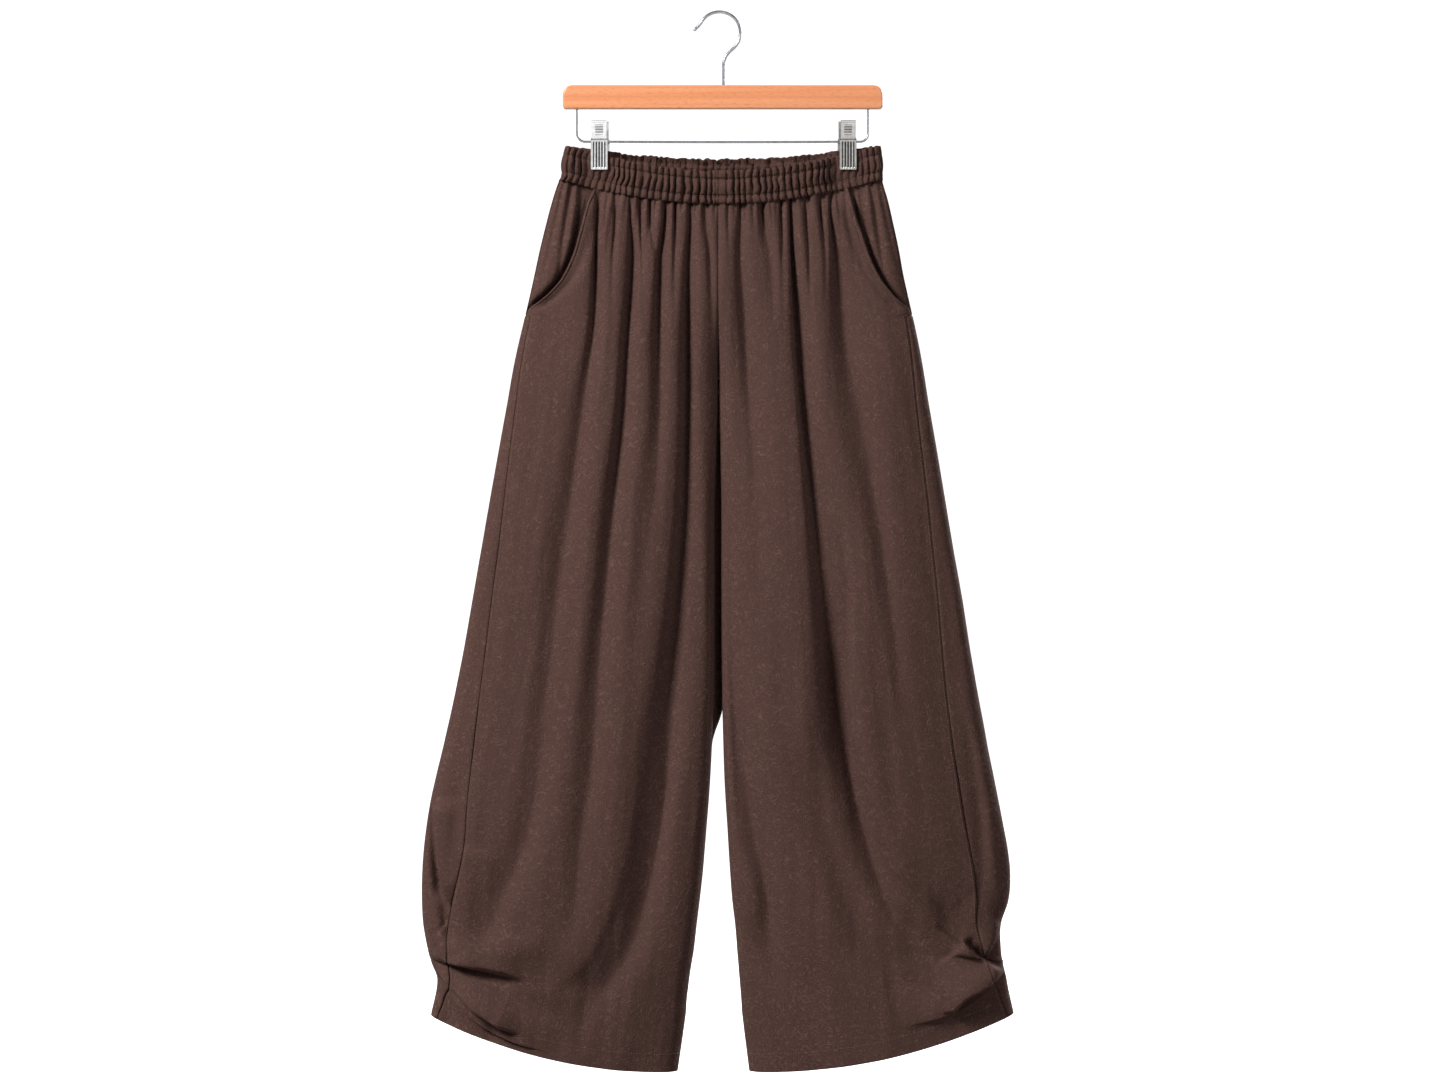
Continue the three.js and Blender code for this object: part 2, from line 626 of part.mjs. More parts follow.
function bandGrid(face) {
  const stations = bandStations(face);
  const topSag = face < 0 ? bandTopFrontSag : bandTopBackSag;
  const points = bandRows.map((row) =>
    stations.map(({ side, fromInner }, index) => {
      const place = face < 0 ? fromInner : 5 - fromInner;
      const guess = halfSection(side, place, 178);
      const top = saggingDrop(bandTopSideDrop, topSag, guess.x);
      const drop = mix(top, waistSeamDrop(guess.x, face), row.share);
      const section = halfSection(side, place, drop);
      const loose = clamp((section.depth - pinchedHalf) / 5 + 0.35, 0.35, 1);
      const wave = (index % 2 ? -1 : 1) * row.gather * loose;
      const depth = section.depth + (row.out * loose + wave) * section.rim + seamGap / 2;
      const x = section.x + Math.sign(section.x) * wave * (1 - section.rim);
      return new THREE.Vector3(x, face * depth, -drop);
    }),
  );
  const normals = gridNormals(points, -face);
  return points.map((row, i) =>
    row.map((point, j) => ({ point, normal: flatNormal(normals[i][j]), keep: face })),
  );
}

// The band stands upright, so its wall has the same thickness all the way down
function flatNormal(normal) {
  return normal.setZ(0).normalize();
}

function waistband(face) {
  return wallGeometry(bandGrid(face), bandWall, -face);
}

// Hanger
// A bent wire through stations set where its bends need them
class StationCurve extends THREE.Curve {
  constructor(stations) {
    super();
    this.stations = stations;
  }
  getPoint(share) {
    const last = this.stations.length - 1;
    const index = Math.min(Math.floor(share * last + 1e-9), last - 1);
    return this.stations[index].clone().lerp(this.stations[index + 1], share * last - index);
  }
  getPointAt(share) {
    return this.getPoint(share);
  }
  getTangentAt(share) {
    return this.getTangent(share);
  }
}

function rodThrough(stations, radius, sides) {
  const section = new THREE.Shape();
  section.absarc(0, 0, radius, 0, 2 * Math.PI, false);
  return new THREE.ExtrudeGeometry(section, {
    steps: stations.length - 1,
    curveSegments: sides / 2,
    bevelEnabled: false,
    extrudePath: new StationCurve(stations),
  });
}

// Stations round an arc in the plane of the hanger
function arcStations(centreX, centreZ, radius, fromDegrees, toDegrees, steps) {
  const stations = [];
  for (let step = 0; step <= steps; step++) {
    const angle = (mix(fromDegrees, toDegrees, step / steps) * Math.PI) / 180;
    const x = centreX + radius * Math.cos(angle);
    stations.push(new THREE.Vector3(x, 0, centreZ + radius * Math.sin(angle)));
  }
  return stations;
}

function hook() {
  const radius = hookInnerRadius + hookWireRadius;
  const stations = [new THREE.Vector3(-27, 0, -17.8), new THREE.Vector3(-24.4, 0, -15)];
  stations.push(...arcStations(0, -hookInnerRadius, radius, 152, -40, 20));
  // Below the ring the wire bends back to the stem
  const bend = new THREE.CubicBezierCurve3(
    stations.at(-1),
    new THREE.Vector3(11.5, 0, -42.6),
    new THREE.Vector3(stemX, 0, -45),
    new THREE.Vector3(stemX, 0, -57),
  );
  stations.push(...bend.getPoints(8).slice(1));
  stations.push(new THREE.Vector3(stemX, 0, bar.top - stemInBar + 1));
  return rodThrough(stations, hookWireRadius, 10);
}

function lowerWire() {
  const { left, right, drop, corner } = wire;
  const top = bar.bottom + wireInBar - 1;
  const stations = [
    new THREE.Vector3(left, 0, top),
    ...arcStations(left + corner, corner - drop, corner, 180, 270, 6),
    ...arcStations(right - corner, corner - drop, corner, 270, 360, 6),
    new THREE.Vector3(right, 0, top),
  ];
  return rodThrough(stations, wire.radius, 8);
}

function boreFor(x, from, to, wireRadius) {
  const radius = wireRadius + boreClearance;
  const bore = new THREE.CylinderGeometry(radius, radius, to - from, 16);
  bore.rotateX(Math.PI / 2);
  bore.translate(x, 0, (from + to) / 2);
  return solidFrom(bore);
}

function woodBar() {
  const bevel = 2;
  const left = bar.left + bevel;
  const right = bar.right - bevel;
  const top = bar.top - bevel;
  const bottom = bar.bottom + bevel;
  const upper = 8;
  const shape = new THREE.Shape();
  shape.moveTo(left + 1.5, bottom);
  shape.lineTo(right - 1.5, bottom);
  shape.quadraticCurveTo(right, bottom, right, bottom + 1.5);
  shape.lineTo(right, top - upper);
  shape.absarc(right - upper, top - upper, upper, 0, Math.PI / 2, false);
  shape.lineTo(left + upper, top);
  shape.absarc(left + upper, top - upper, upper, Math.PI / 2, Math.PI, false);
  shape.lineTo(left, bottom + 1.5);
  shape.quadraticCurveTo(left, bottom, left + 1.5, bottom);
  const geometry = new THREE.ExtrudeGeometry(shape, {
    depth: bar.depth - 2 * bevel,
    bevelEnabled: true,
    bevelSize: bevel,
    bevelThickness: bevel,
    bevelSegments: 2,
    curveSegments: 5,
  });
  geometry.translate(0, 0, -(bar.depth - 2 * bevel) / 2);
  geometry.rotateX(Math.PI / 2);
  let solid = solidFrom(geometry);
  solid = solid.subtract(boreFor(stemX, bar.top - stemInBar, bar.top + 5, hookWireRadius));
  for (const x of [wire.left, wire.right]) {
    solid = solid.subtract(boreFor(x, bar.bottom - 5, bar.bottom + wireInBar, wire.radius));
  }
  return geometryFrom(solid);
}

function box(x0, x1, y0, y1, z0, z1) {
  const geometry = new THREE.BoxGeometry(x1 - x0, y1 - y0, z1 - z0);
  geometry.translate((x0 + x1) / 2, (y0 + y1) / 2, (z0 + z1) / 2);
  return solidFrom(geometry);
}

// One plate of a clip: an upright jaw below the wire, and a grip above it that leans away
function clipPlate(centre, face) {
  const half = clip.width / 2;
  const inside = clip.jawInside;
  const outside = inside + clip.plate;
  const bend = -wire.drop + 3;
  const top = -wire.drop + 23;
  const lean = 4;
  const profile = new THREE.Shape();
  profile.moveTo(inside, clip.jawBottom);
  profile.lineTo(outside, clip.jawBottom);
  profile.lineTo(outside, bend);
  profile.lineTo(outside + lean, top);
  profile.lineTo(inside + lean, top);
  profile.lineTo(inside, bend);
  profile.closePath();
  const strip = new THREE.ExtrudeGeometry(profile, { depth: 2 * half, bevelEnabled: false });
  strip.translate(0, 0, -half);
  const outwards = new THREE.Vector3(0, -1, 0);
  const upwards = new THREE.Vector3(0, 0, 1);
  const alongWire = new THREE.Vector3(-1, 0, 0);
  strip.applyMatrix4(new THREE.Matrix4().makeBasis(outwards, upwards, alongWire));
  let solid = solidFrom(strip);
  const ribs = 4;
  const ribWidth = 1.4;
  const pitch = (2 * half - ribWidth) / (ribs - 1 + 2 * 0.35);
  for (let rib = 0; rib < ribs; rib++) {
    const x = -half + 0.35 * pitch + rib * pitch;
    solid = solid.add(box(x, x + ribWidth, -outside - 0.7, -outside + 0.3, clip.jawBottom + 3, bend - 4));
  }
  const bandHeight = 1.6;
  solid = solid.add(box(-half, half, -outside - 0.9, -outside + 0.3, bend - 2.6, bend - 2.6 + bandHeight));
  solid = solid.add(box(-half, half, -outside - 0.7, -outside + 0.3, clip.jawBottom, clip.jawBottom + 1.4));
  const gripRidges = 3;
  for (let ridge = 0; ridge < gripRidges; ridge++) {
    const z = mix(bend + 4, top - 5, ridge / (gripRidges - 1));
    const y = -outside - lean * ((z - bend) / (top - bend));
    solid = solid.add(box(-half + 2, half - 2, y - 0.5, y + 0.6, z - 0.6, z + 0.6));
  }
  const roll = new THREE.CylinderGeometry(1.2, 1.2, 2 * half, 8);
  roll.rotateZ(Math.PI / 2);
  roll.translate(0, -(inside + outside) / 2 - lean, top);
  solid = solid.add(solidFrom(roll));
  const turn = face < 0 ? 0 : 180;
  const shift = face < 0 ? 0 : -Math.sign(centre) * rearPlateShift;
  return geometryFrom(solid.rotate([0, 0, turn]).translate([centre + shift, 0, 0]));
}

// The coil spring on the wire between the plates, as the sleeve that it fills
function clipSpring(centre) {
  const length = 12;
  const outer = new THREE.CylinderGeometry(clip.jawInside - 0.35, clip.jawInside - 0.35, length, 18);
  const inner = new THREE.CylinderGeometry(wire.radius + 0.4, wire.radius + 0.4, length + 2, 18);
  for (const geometry of [outer, inner]) {
    geometry.rotateZ(Math.PI / 2);
    geometry.translate(centre, 0, -wire.drop);
  }
  return geometryFrom(solidFrom(outer).subtract(solidFrom(inner)));
}

// The whole object
const garment = new THREE.Group();
garment.position.x = garmentX;
garment.add(named("waistband_front", waistband(-1), bandCloth()));
garment.add(named("waistband_back", waistband(1), bandCloth()));
for (const side of [-1, 1]) {
  const where = sideName(side);
  garment.add(named(`leg_front_${where}`, frontPanel(side), cloth()));
  if (side > 0) garment.add(named("leg_back_right", backPanel(side), cloth()));
  garment.add(named(`pocket_backing_${where}`, pocketBacking(side), cloth()));
}

const [leftBackUpper, leftBackLower] = leftBackLengths();
garment.add(named("leg_back_left", leftBackUpper, cloth()));
garment.add(named("leg_back_left_lower", leftBackLower, cloth()));

const hanger = new THREE.Group();
hanger.add(named("hanger_hook", hook(), steel()));
hanger.add(named("hanger_bar", woodBar(), beech()));
hanger.add(named("hanger_wire", lowerWire(), steel()));
for (const side of [-1, 1]) {
  const where = sideName(side);
  const centre = side < 0 ? clip.left : clip.right;
  hanger.add(named(`clip_${where}_front_plate`, clipPlate(centre, -1), steel()));
  hanger.add(named(`clip_${where}_rear_plate`, clipPlate(centre, 1), steel()));
  hanger.add(named(`clip_${where}_spring`, clipSpring(centre), steel()));
}

const pants = new THREE.Group();
pants.add(garment, hanger);

export default pants;
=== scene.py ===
import math

import bpy
import numpy as np
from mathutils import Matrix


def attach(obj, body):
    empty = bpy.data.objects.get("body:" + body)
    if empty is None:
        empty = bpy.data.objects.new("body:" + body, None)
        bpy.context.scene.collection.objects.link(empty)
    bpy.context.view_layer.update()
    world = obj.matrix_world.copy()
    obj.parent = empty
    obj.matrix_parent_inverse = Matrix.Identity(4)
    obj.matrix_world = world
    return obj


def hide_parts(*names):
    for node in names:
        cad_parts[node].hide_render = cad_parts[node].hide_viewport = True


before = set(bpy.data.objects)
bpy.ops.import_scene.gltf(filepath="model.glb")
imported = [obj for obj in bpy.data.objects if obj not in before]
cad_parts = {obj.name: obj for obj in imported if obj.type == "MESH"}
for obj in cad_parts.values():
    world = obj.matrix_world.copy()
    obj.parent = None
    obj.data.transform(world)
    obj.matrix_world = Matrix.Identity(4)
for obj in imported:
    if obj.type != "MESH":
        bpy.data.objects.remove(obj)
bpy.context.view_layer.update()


# The view. A long lens looks straight at the front, level with the middle of the pants, and takes in
# 1.578 m of width where they hang.
view_width = 1.5779
view_distance = 5.0
camera_data = bpy.data.cameras.new("front_view")
camera_data.sensor_fit = "HORIZONTAL"
camera_data.sensor_width = 36.0
camera_data.lens = 36.0 * view_distance / view_width
camera_data.clip_end = 60.0
camera = bpy.data.objects.new("front_view", camera_data)
camera.location = (0.0033, -view_distance, -0.5771)
camera.rotation_euler = (math.pi / 2, 0, 0)
bpy.context.scene.collection.objects.link(camera)
bpy.context.scene.camera = camera


# The hook and the lower wire. Drawn steel wire, 3.5 and 2.5 mm thick, bent cold and nickel plated. The
# hook is screwed into the top of the bar, and the lower wire is pressed into its underside.
def linear(hex_colour):
    """An sRGB hex colour as linear values: c / 12.92 up to 0.04045, and above it ((c + 0.055) / 1.055) to
    the 2.4."""
    parts = [int(hex_colour[i:i + 2], 16) / 255 for i in (1, 3, 5)]
    return tuple(c / 12.92 if c <= 0.04045 else ((c + 0.055) / 1.055) ** 2.4 for c in parts) + (1.0,)


def add_node(tree, kind, settings, links=()):
    """Adds a node. Each setting goes to the input of that name or number, or else to the property of that
    name. Each link takes an output, or a node's first output, to an input."""
    made = tree.nodes.new("ShaderNode" + kind)
    for name, value in settings.items():
        if isinstance(name, int) or name in made.inputs:
            made.inputs[name].default_value = value
        else:
            setattr(made, name, value)
    for source, name in links:
        tree.links.new(getattr(source, "outputs", [source])[0], made.inputs[name])
    return made


def new_finish(name):
    """An empty node tree with an output, for one material."""
    material = bpy.data.materials.new(name)
    material.use_nodes = True
    material.node_tree.nodes.clear()
    return material, material.node_tree


def colour_steps(tree, factor, steps):
    """A colour ramp fed by factor, with a hex colour at each place."""
    ramp = add_node(tree, "ValToRGB", {}, [(factor, "Fac")])
    marks = ramp.color_ramp.elements
    while len(marks) < len(steps):
        marks.new(0.5)
    for mark, (place, colour) in zip(marks, steps):
        mark.position = place
        mark.color = linear(colour)
    return ramp


def nickel_plate(name, colour, low, high):
    """Nickel plate on steel. A thin bright coat: fine cloudy changes in its gloss, and drawing marks that
    are too fine to see as lines, so they are drawn 1 mm apart."""
    material, tree = new_finish(name)
    place = add_node(tree, "TexCoord", {})
    surface = place.outputs["Object"]
    cloud = add_node(tree, "TexNoise", {"Scale": 260.0, "Detail": 3.0}, [(surface, "Vector")])
    gloss = add_node(tree, "MapRange", {"From Min": 0.3, "From Max": 0.7, "To Min": low, "To Max": high},
                     [(cloud, "Value")])
    marks = add_node(tree, "TexNoise", {"Scale": 1000.0, "Detail": 2.0}, [(surface, "Vector")])
    bump = add_node(tree, "Bump", {"Strength": 0.05, "Distance": 0.0002}, [(marks, "Height")])
    shade = colour_steps(tree, cloud, [(0.3, colour[0]), (0.7, colour[1])])
    metal = add_node(tree, "BsdfPrincipled", {"Metallic": 1.0},
                     [(shade, "Base Color"), (gloss, "Roughness"),
                      (bump, "Normal")])
    add_node(tree, "OutputMaterial", {}, [(metal, "Surface")])
    return material


def unit(vectors):
    """Vectors divided by their own lengths."""
    return vectors / np.maximum(np.linalg.norm(vectors, axis=-1, keepdims=True), 1e-9)


def make_piece(name, points, quads, triangles, material, slot, surface=None, map_name="cloth_run"):
    """Puts points, in millimetres, and faces of four and three corners into a mesh whose sides face
    outwards: where its signed volume is negative every face is turned. Surface gives each point's place
    along and across the material, in millimetres, for the UV map."""
    quads = np.asarray(quads, dtype=np.int32).reshape(-1, 4)
    triangles = np.asarray(triangles, dtype=np.int32).reshape(-1, 3)
    halves = np.concatenate([quads[:, [0, 1, 2]], quads[:, [0, 2, 3]], triangles])
    corner = points[halves]
    if np.einsum("ij,ij->i", corner[:, 0], np.cross(corner[:, 1], corner[:, 2])).sum() < 0:
        quads, triangles = quads[:, ::-1], triangles[:, ::-1]
    mesh = bpy.data.meshes.new(name)
    mesh.vertices.add(len(points))
    mesh.vertices.foreach_set("co", (points * 0.001).astype(np.float32).ravel())
    loops = np.concatenate([quads.ravel(), triangles.ravel()]).astype(np.int32)
    starts = np.concatenate([np.arange(len(quads)) * 4, len(quads) * 4 + np.arange(len(triangles)) * 3])
    mesh.loops.add(len(loops))
    mesh.loops.foreach_set("vertex_index", loops)
    mesh.polygons.add(len(starts))
    mesh.polygons.foreach_set("loop_start", starts.astype(np.int32))
    mesh.update(calc_edges=True)
    mesh.validate()
    mesh.polygons.foreach_set("use_smooth", np.ones(len(mesh.polygons), dtype=bool))
    if surface is not None:
        spread = mesh.uv_layers.new(name=map_name)
        spread.data.foreach_set("uv", (surface[loops] * 0.001).astype(np.float32).ravel())
    mesh.materials.append(material)
    piece = bpy.data.objects.new(name, mesh)
    bpy.context.scene.collection.objects.link(piece)
    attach(piece, "root")
    return piece


def ring_quads(count, around):
    """Faces between rings of points, each of which closes on itself."""
    i, j = np.meshgrid(np.arange(count - 1), np.arange(around), indexing="ij")
    after = (j + 1) % around
    corners = [i * around + j, i * around + after, (i + 1) * around + after, (i + 1) * around + j]
    return np.stack(corners, -1).reshape(-1, 4)


def rod(path, radius, sides=16):
    """A round rod along a path: at each station a circle square to the mean of the runs before and after
    it, with one axis square to Y, and a dome on each end."""
    path = np.asarray(path, dtype=float)
    run = unit(np.gradient(path, axis=0))
    aside = np.cross(run, (0.0, 1.0, 0.0))
    level = np.linalg.norm(aside, axis=1) < 1e-6
    aside[level] = (0.0, 0.0, 1.0)
    aside = unit(aside)
    beside = np.cross(run, aside)
    angle = np.arange(sides) * (2 * np.pi / sides)
    dome = np.array([0.5, 0.87, 1.0])
    reach = np.sqrt(1 - dome ** 2)
    centres = np.concatenate([path[:1] - run[:1] * radius * reach[:, None], path[1:-1],
                              path[-1:] + run[-1:] * radius * reach[::-1, None]])
    wide = np.concatenate([dome, np.ones(len(path) - 2), dome[::-1]]) * radius
    pick = np.concatenate([np.zeros(3, int), np.arange(1, len(path) - 1), np.full(3, len(path) - 1)])
    ring = (np.cos(angle)[None, :, None] * aside[pick][:, None]
            + np.sin(angle)[None, :, None] * beside[pick][:, None])
    rings = centres[:, None] + ring * wide[:, None, None]
    count = len(rings)
    points = np.concatenate([rings.reshape(-1, 3), path[:1] - run[:1] * radius,
                             path[-1:] + run[-1:] * radius])
    quads = ring_quads(count, sides)[:, [0, 3, 2, 1]]
    edge, first_tip, last = np.arange(sides), np.full(sides, count * sides), (count - 1) * sides
    after = (edge + 1) % sides
    tips = [np.stack([first_tip, edge, after], -1),
            np.stack([first_tip + 1, last + after, last + edge], -1)]
    return points, quads, np.concatenate(tips)


def arc(centre_x, centre_z, radius, start, stop, steps):
    """Stations on a circle in the plane of the hanger, between two angles in degrees."""
    angle = np.radians(np.linspace(start, stop, steps))
    x, z = centre_x + radius * np.cos(angle), centre_z + radius * np.sin(angle)
    return np.stack([x, np.zeros(steps), z], -1)


def bend(points, steps):
    """A cubic curve held by four points: sums of (1 - t) and t in powers 3 to 0, weighted 1, 3, 3, 1."""
    a, b, c, d = (np.array((x, 0.0, z)) for x, z in points)
    t = np.linspace(0, 1, steps)[1:, None]
    return (1 - t) ** 3 * a + 3 * (1 - t) ** 2 * t * b + 3 * (1 - t) * t ** 2 * c + t ** 3 * d


hook_wire, hook_inside, stem_x = 1.75, 21.1, 4.6
bar_left, bar_right, bar_top, bar_bottom, bar_depth = -171.0, 178.2, -78.5, -104.7, 12.0
wire_left, wire_right, wire_radius, wire_drop, wire_corner = -155.4, 162.4, 1.25, 140.1, 9.0

bright_wire = nickel_plate("nickel_plated_wire", ("#707175", "#86878b"), 0.22, 0.3)
ring = arc(0, -hook_inside, hook_inside + hook_wire, 152, -40, 64)
tip = bend([(-27.0, -17.8), (-25.6, -16.4), (-23.2, -14.5), tuple(ring[0, [0, 2]])], 8)
neck = bend([tuple(ring[-1, [0, 2]]), (11.5, -42.6), (stem_x, -45.0), (stem_x, -57.0)], 24)
stem = np.array([(stem_x, 0, z) for z in (-66.0, -78.0, -93.0)])
hook_path = np.concatenate([[(-27.0, 0, -17.8)], tip[:-1], ring, neck, stem])
hook = make_piece("hook", *rod(hook_path, hook_wire, 20), bright_wire, "steel_wire")
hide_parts("hanger_hook")

low = wire_corner - wire_drop
wire_sag = 0.35 * np.sin(np.linspace(0, np.pi, 28))
lower_path = np.concatenate([
    [(wire_left, 0, bar_bottom + 9)], [(wire_left, 0, bar_bottom - 4)],
    arc(wire_left + wire_corner, low, wire_corner, 180, 270, 12),
    np.stack([np.linspace(-130, 140, 28), np.zeros(28), -wire_drop - wire_sag], -1),
    arc(wire_right - wire_corner, low, wire_corner, 270, 360, 12),
    [(wire_right, 0, bar_bottom - 4)], [(wire_right, 0, bar_bottom + 9)]])
lower_wire = make_piece("lower_wire", *rod(lower_path, wire_radius, 16), bright_wire, "steel_wire")
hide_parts("hanger_wire")


# The bar. Beech, sawn from one lath 350 by 26 by 12 mm, its top corners rounded on a sander and every
# edge eased, then brushed with a thin satin varnish.
def beech_varnish():
    """Varnished beech. The grain runs along X, with bands a few millimetres apart and short darker pore
    flecks 2 to 4 mm long; the varnish gives a soft even gloss."""
    material, tree = new_finish("satin_varnished_beech")
    lath_place = add_node(tree, "TexCoord", {}).outputs["Object"]
    bands_at = add_node(tree, "Mapping", {"Scale": (2.2, 60.0, 130.0)}, [(lath_place, "Vector")])
    bands = add_node(tree, "TexNoise", {"Scale": 1.0, "Detail": 5.0, "Roughness": 0.6, "Distortion": 0.5},
                     [(bands_at, "Vector")])
    flecks_at = add_node(tree, "Mapping", {"Scale": (150.0, 1500.0, 1500.0)},
                         [(lath_place, "Vector")])
    flecks = add_node(tree, "TexNoise", {"Scale": 1.0, "Detail": 2.0}, [(flecks_at, "Vector")])
    wood = colour_steps(tree, bands,
                        [(0.25, "#c67b4e"), (0.45, "#d7895b"), (0.6, "#dd9466"), (0.8, "#cd8355")])
    pores = add_node(tree, "MapRange", {"From Min": 0.36, "From Max": 0.46, "To Min": 0.35, "To Max": 0.0},
                     [(flecks, "Value")])
    mixed = add_node(tree, "Mix", {"data_type": "RGBA", 7: linear("#a35a36")},
                     [(pores, 0), (wood, 6)])
    gloss = add_node(tree, "MapRange", {"From Min": 0.3, "From Max": 0.7, "To Min": 0.34, "To Max": 0.46},
                     [(bands, "Value")])
    bump = add_node(tree, "Bump", {"Strength": 0.2, "Distance": 0.0002}, [(flecks, "Height")])
    shader = add_node(tree, "BsdfPrincipled",
                      {"IOR": 1.5, "Coat Weight": 0.25, "Coat Roughness": 0.25},
                      [(mixed.outputs[2], "Base Color"), (gloss, "Roughness"),
                       (bump, "Normal")])
    add_node(tree, "OutputMaterial", {}, [(shader, "Surface")])
    return material


def round_corners(left, right, bottom, top, low_radius, high_radius, steps):
    """Outline of the bar seen from the front, anticlockwise: a quarter circle at each corner."""
    parts = []
    for x, z, radius, start in ((right - low_radius, bottom + low_radius, low_radius, -90),
                                (right - high_radius, top - high_radius, high_radius, 0),
                                (left + high_radius, top - high_radius, high_radius, 90),
                                (left + low_radius, bottom + low_radius, low_radius, 180)):
        angle = np.radians(start + np.linspace(0, 90, steps))
        parts.append(np.stack([x + radius * np.cos(angle), z + radius * np.sin(angle)], -1))
    return np.concatenate(parts)


def lath(depth, ease, steps):
    """The bar as rings from back to front: the outline drawn in by ease (1 - cos a) while the face moves
    out by ease (1 - sin a), a quarter turn for each eased edge; the two faces are closed by strips."""
    angle = np.radians(np.linspace(0, 90, steps))
    drawn_in, moved_out = ease * (1 - np.sin(angle)), ease * (1 - np.cos(angle))
    inset = np.concatenate([drawn_in, drawn_in[::-1]])
    y = np.concatenate([-depth / 2 + moved_out, (depth / 2 - moved_out)[::-1]])
    rings = np.array([round_corners(bar_left + move, bar_right - move, bar_bottom + move, bar_top - move,
                                    3.6 - move * 0.8, 10.5 - move, 12) for move in inset])
    count, around = rings.shape[:2]
    points = np.stack([rings[..., 0], np.repeat(y[:, None], around, 1), rings[..., 1]], -1).reshape(-1, 3)
    k = np.arange(around // 2 - 1)
    back = np.stack([k, around - 1 - k, around - 2 - k, k + 1], -1)
    front = (count - 1) * around + back[:, ::-1]
    return points, np.concatenate([ring_quads(count, around), back, front]), np.zeros((0, 3), int)


beech = beech_varnish()
bar = make_piece("wooden_bar", *lath(bar_depth, 2.2, 7), beech, "beech")
bar.data.set_sharp_from_angle(angle=math.radians(50))
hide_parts("hanger_bar")


# The clips. Each is two stamped steel plates on a coil spring round the lower wire: a ribbed jaw below,
# and above it a finger grip that leans away and ends in a rolled edge, with plain ridges pressed in it.
clip_places = {"left": -131.2, "right": 140.3}
clip_width, jaw_inside, plate_wall, jaw_bottom = 18.4, 4.6, 1.2, -170.9
grip_top = -wire_drop + 23
grip_bend = -wire_drop + 3


def clip_plate(centre, face):
    """One plate as a grid of a sheet seen from the front: across it s runs from -1 to 1 and down it z. Its
    distance from the wire is the jaw's, plus the grip's lean above the bend, plus a raised rim, five
    pressed slots (a squared cosine in s, clipped) and a rolled top edge. The back is the same surface moved
    in by the plate's thickness. The second result is a map of painted shade: how much darker each point is
    painted, most in the slots and between the ridges, less at the bend and along the rim."""
    z = np.unique(np.round(np.concatenate([
        np.linspace(jaw_bottom, grip_bend, 46), np.linspace(grip_bend, grip_top, 34)]), 3))
    s = np.linspace(-1, 1, 61)
    s_grid, z_grid = np.meshgrid(s, z)
    above = np.clip((z_grid - grip_bend) / (grip_top - grip_bend), 0, 1)
    lean = 4.0 * above ** 1.15
    low, high = jaw_bottom + 2.2, grip_bend - 3.4
    field = smooth(low - 0.5, low + 0.5, z_grid) * (1 - smooth(high - 0.5, high + 0.5, z_grid))
    field *= 1 - smooth(0.76, 0.82, np.abs(s_grid))
    slots = np.clip(np.cos(s_grid * np.pi * 2.5 / 0.82) ** 2 * 2.0 - 0.75, 0, 1) * field
    jaw = np.where(z_grid < grip_bend - 1.2, 0.9 - 1.15 * slots, 0.0)
    mark = (1 - smooth(0.5, 0.62, np.abs(s_grid))) * smooth(grip_bend + 4, grip_bend + 5, z_grid)
    mark *= 1 - smooth(grip_top - 5, grip_top - 4, z_grid)
    ridges = 0.5 + 0.5 * np.cos((z_grid - grip_bend) * 2 * np.pi / 2.9)
    roll = np.exp(-((z_grid - grip_top + 1.0) / 1.3) ** 2) * 1.3
    stand = jaw_inside + plate_wall + lean + jaw - 0.5 * mark + 0.9 * mark * ridges + roll
    narrow = 1 - 0.11 * smooth(grip_bend - 1, grip_bend + 2, z_grid)
    ends = np.minimum(1.0, np.sqrt(np.clip((z_grid - jaw_bottom + 0.05) / 1.6, 0, 1)) * 0.06 + 0.94)
    x = centre + s_grid * clip_width / 2 * narrow * ends
    front = np.stack([x, -stand, z_grid], -1)
    back = np.stack([x, -(jaw_inside + lean), z_grid], -1)
    if face > 0:
        shift = -math.copysign(2.0, centre)
        turn = np.array((1.0, -1.0, 1.0))
        front, back = front * turn + (shift, 0, 0), back * turn + (shift, 0, 0)
    waist = np.exp(-((z_grid - grip_bend + 0.6) / 0.8) ** 2)
    rim = np.maximum(smooth(0.9, 0.99, np.abs(s_grid)), np.exp(-((z_grid - grip_top + 2.9) / 0.6) ** 2))
    # painted shade: how much darker each point is painted, in the slots, between the ridges, at the bend
    # and along the rim
    pressed = np.clip(slots + 0.75 * mark * (1 - ridges) + 0.7 * waist + 0.5 * rim, 0, 1)
    front_map = np.stack([pressed.ravel(), s_grid.ravel()], -1) * 1000.0
    return closed_sheet(front, back, 1), np.concatenate([front_map, front_map * (0.3, 1.0)])


def smooth(start, stop, value):
    """0 before start, 1 after stop, and 3 t squared - 2 t cubed between them."""
    t = np.clip((value - start) / (stop - start), 0, 1)
    return t * t * (3 - 2 * t)


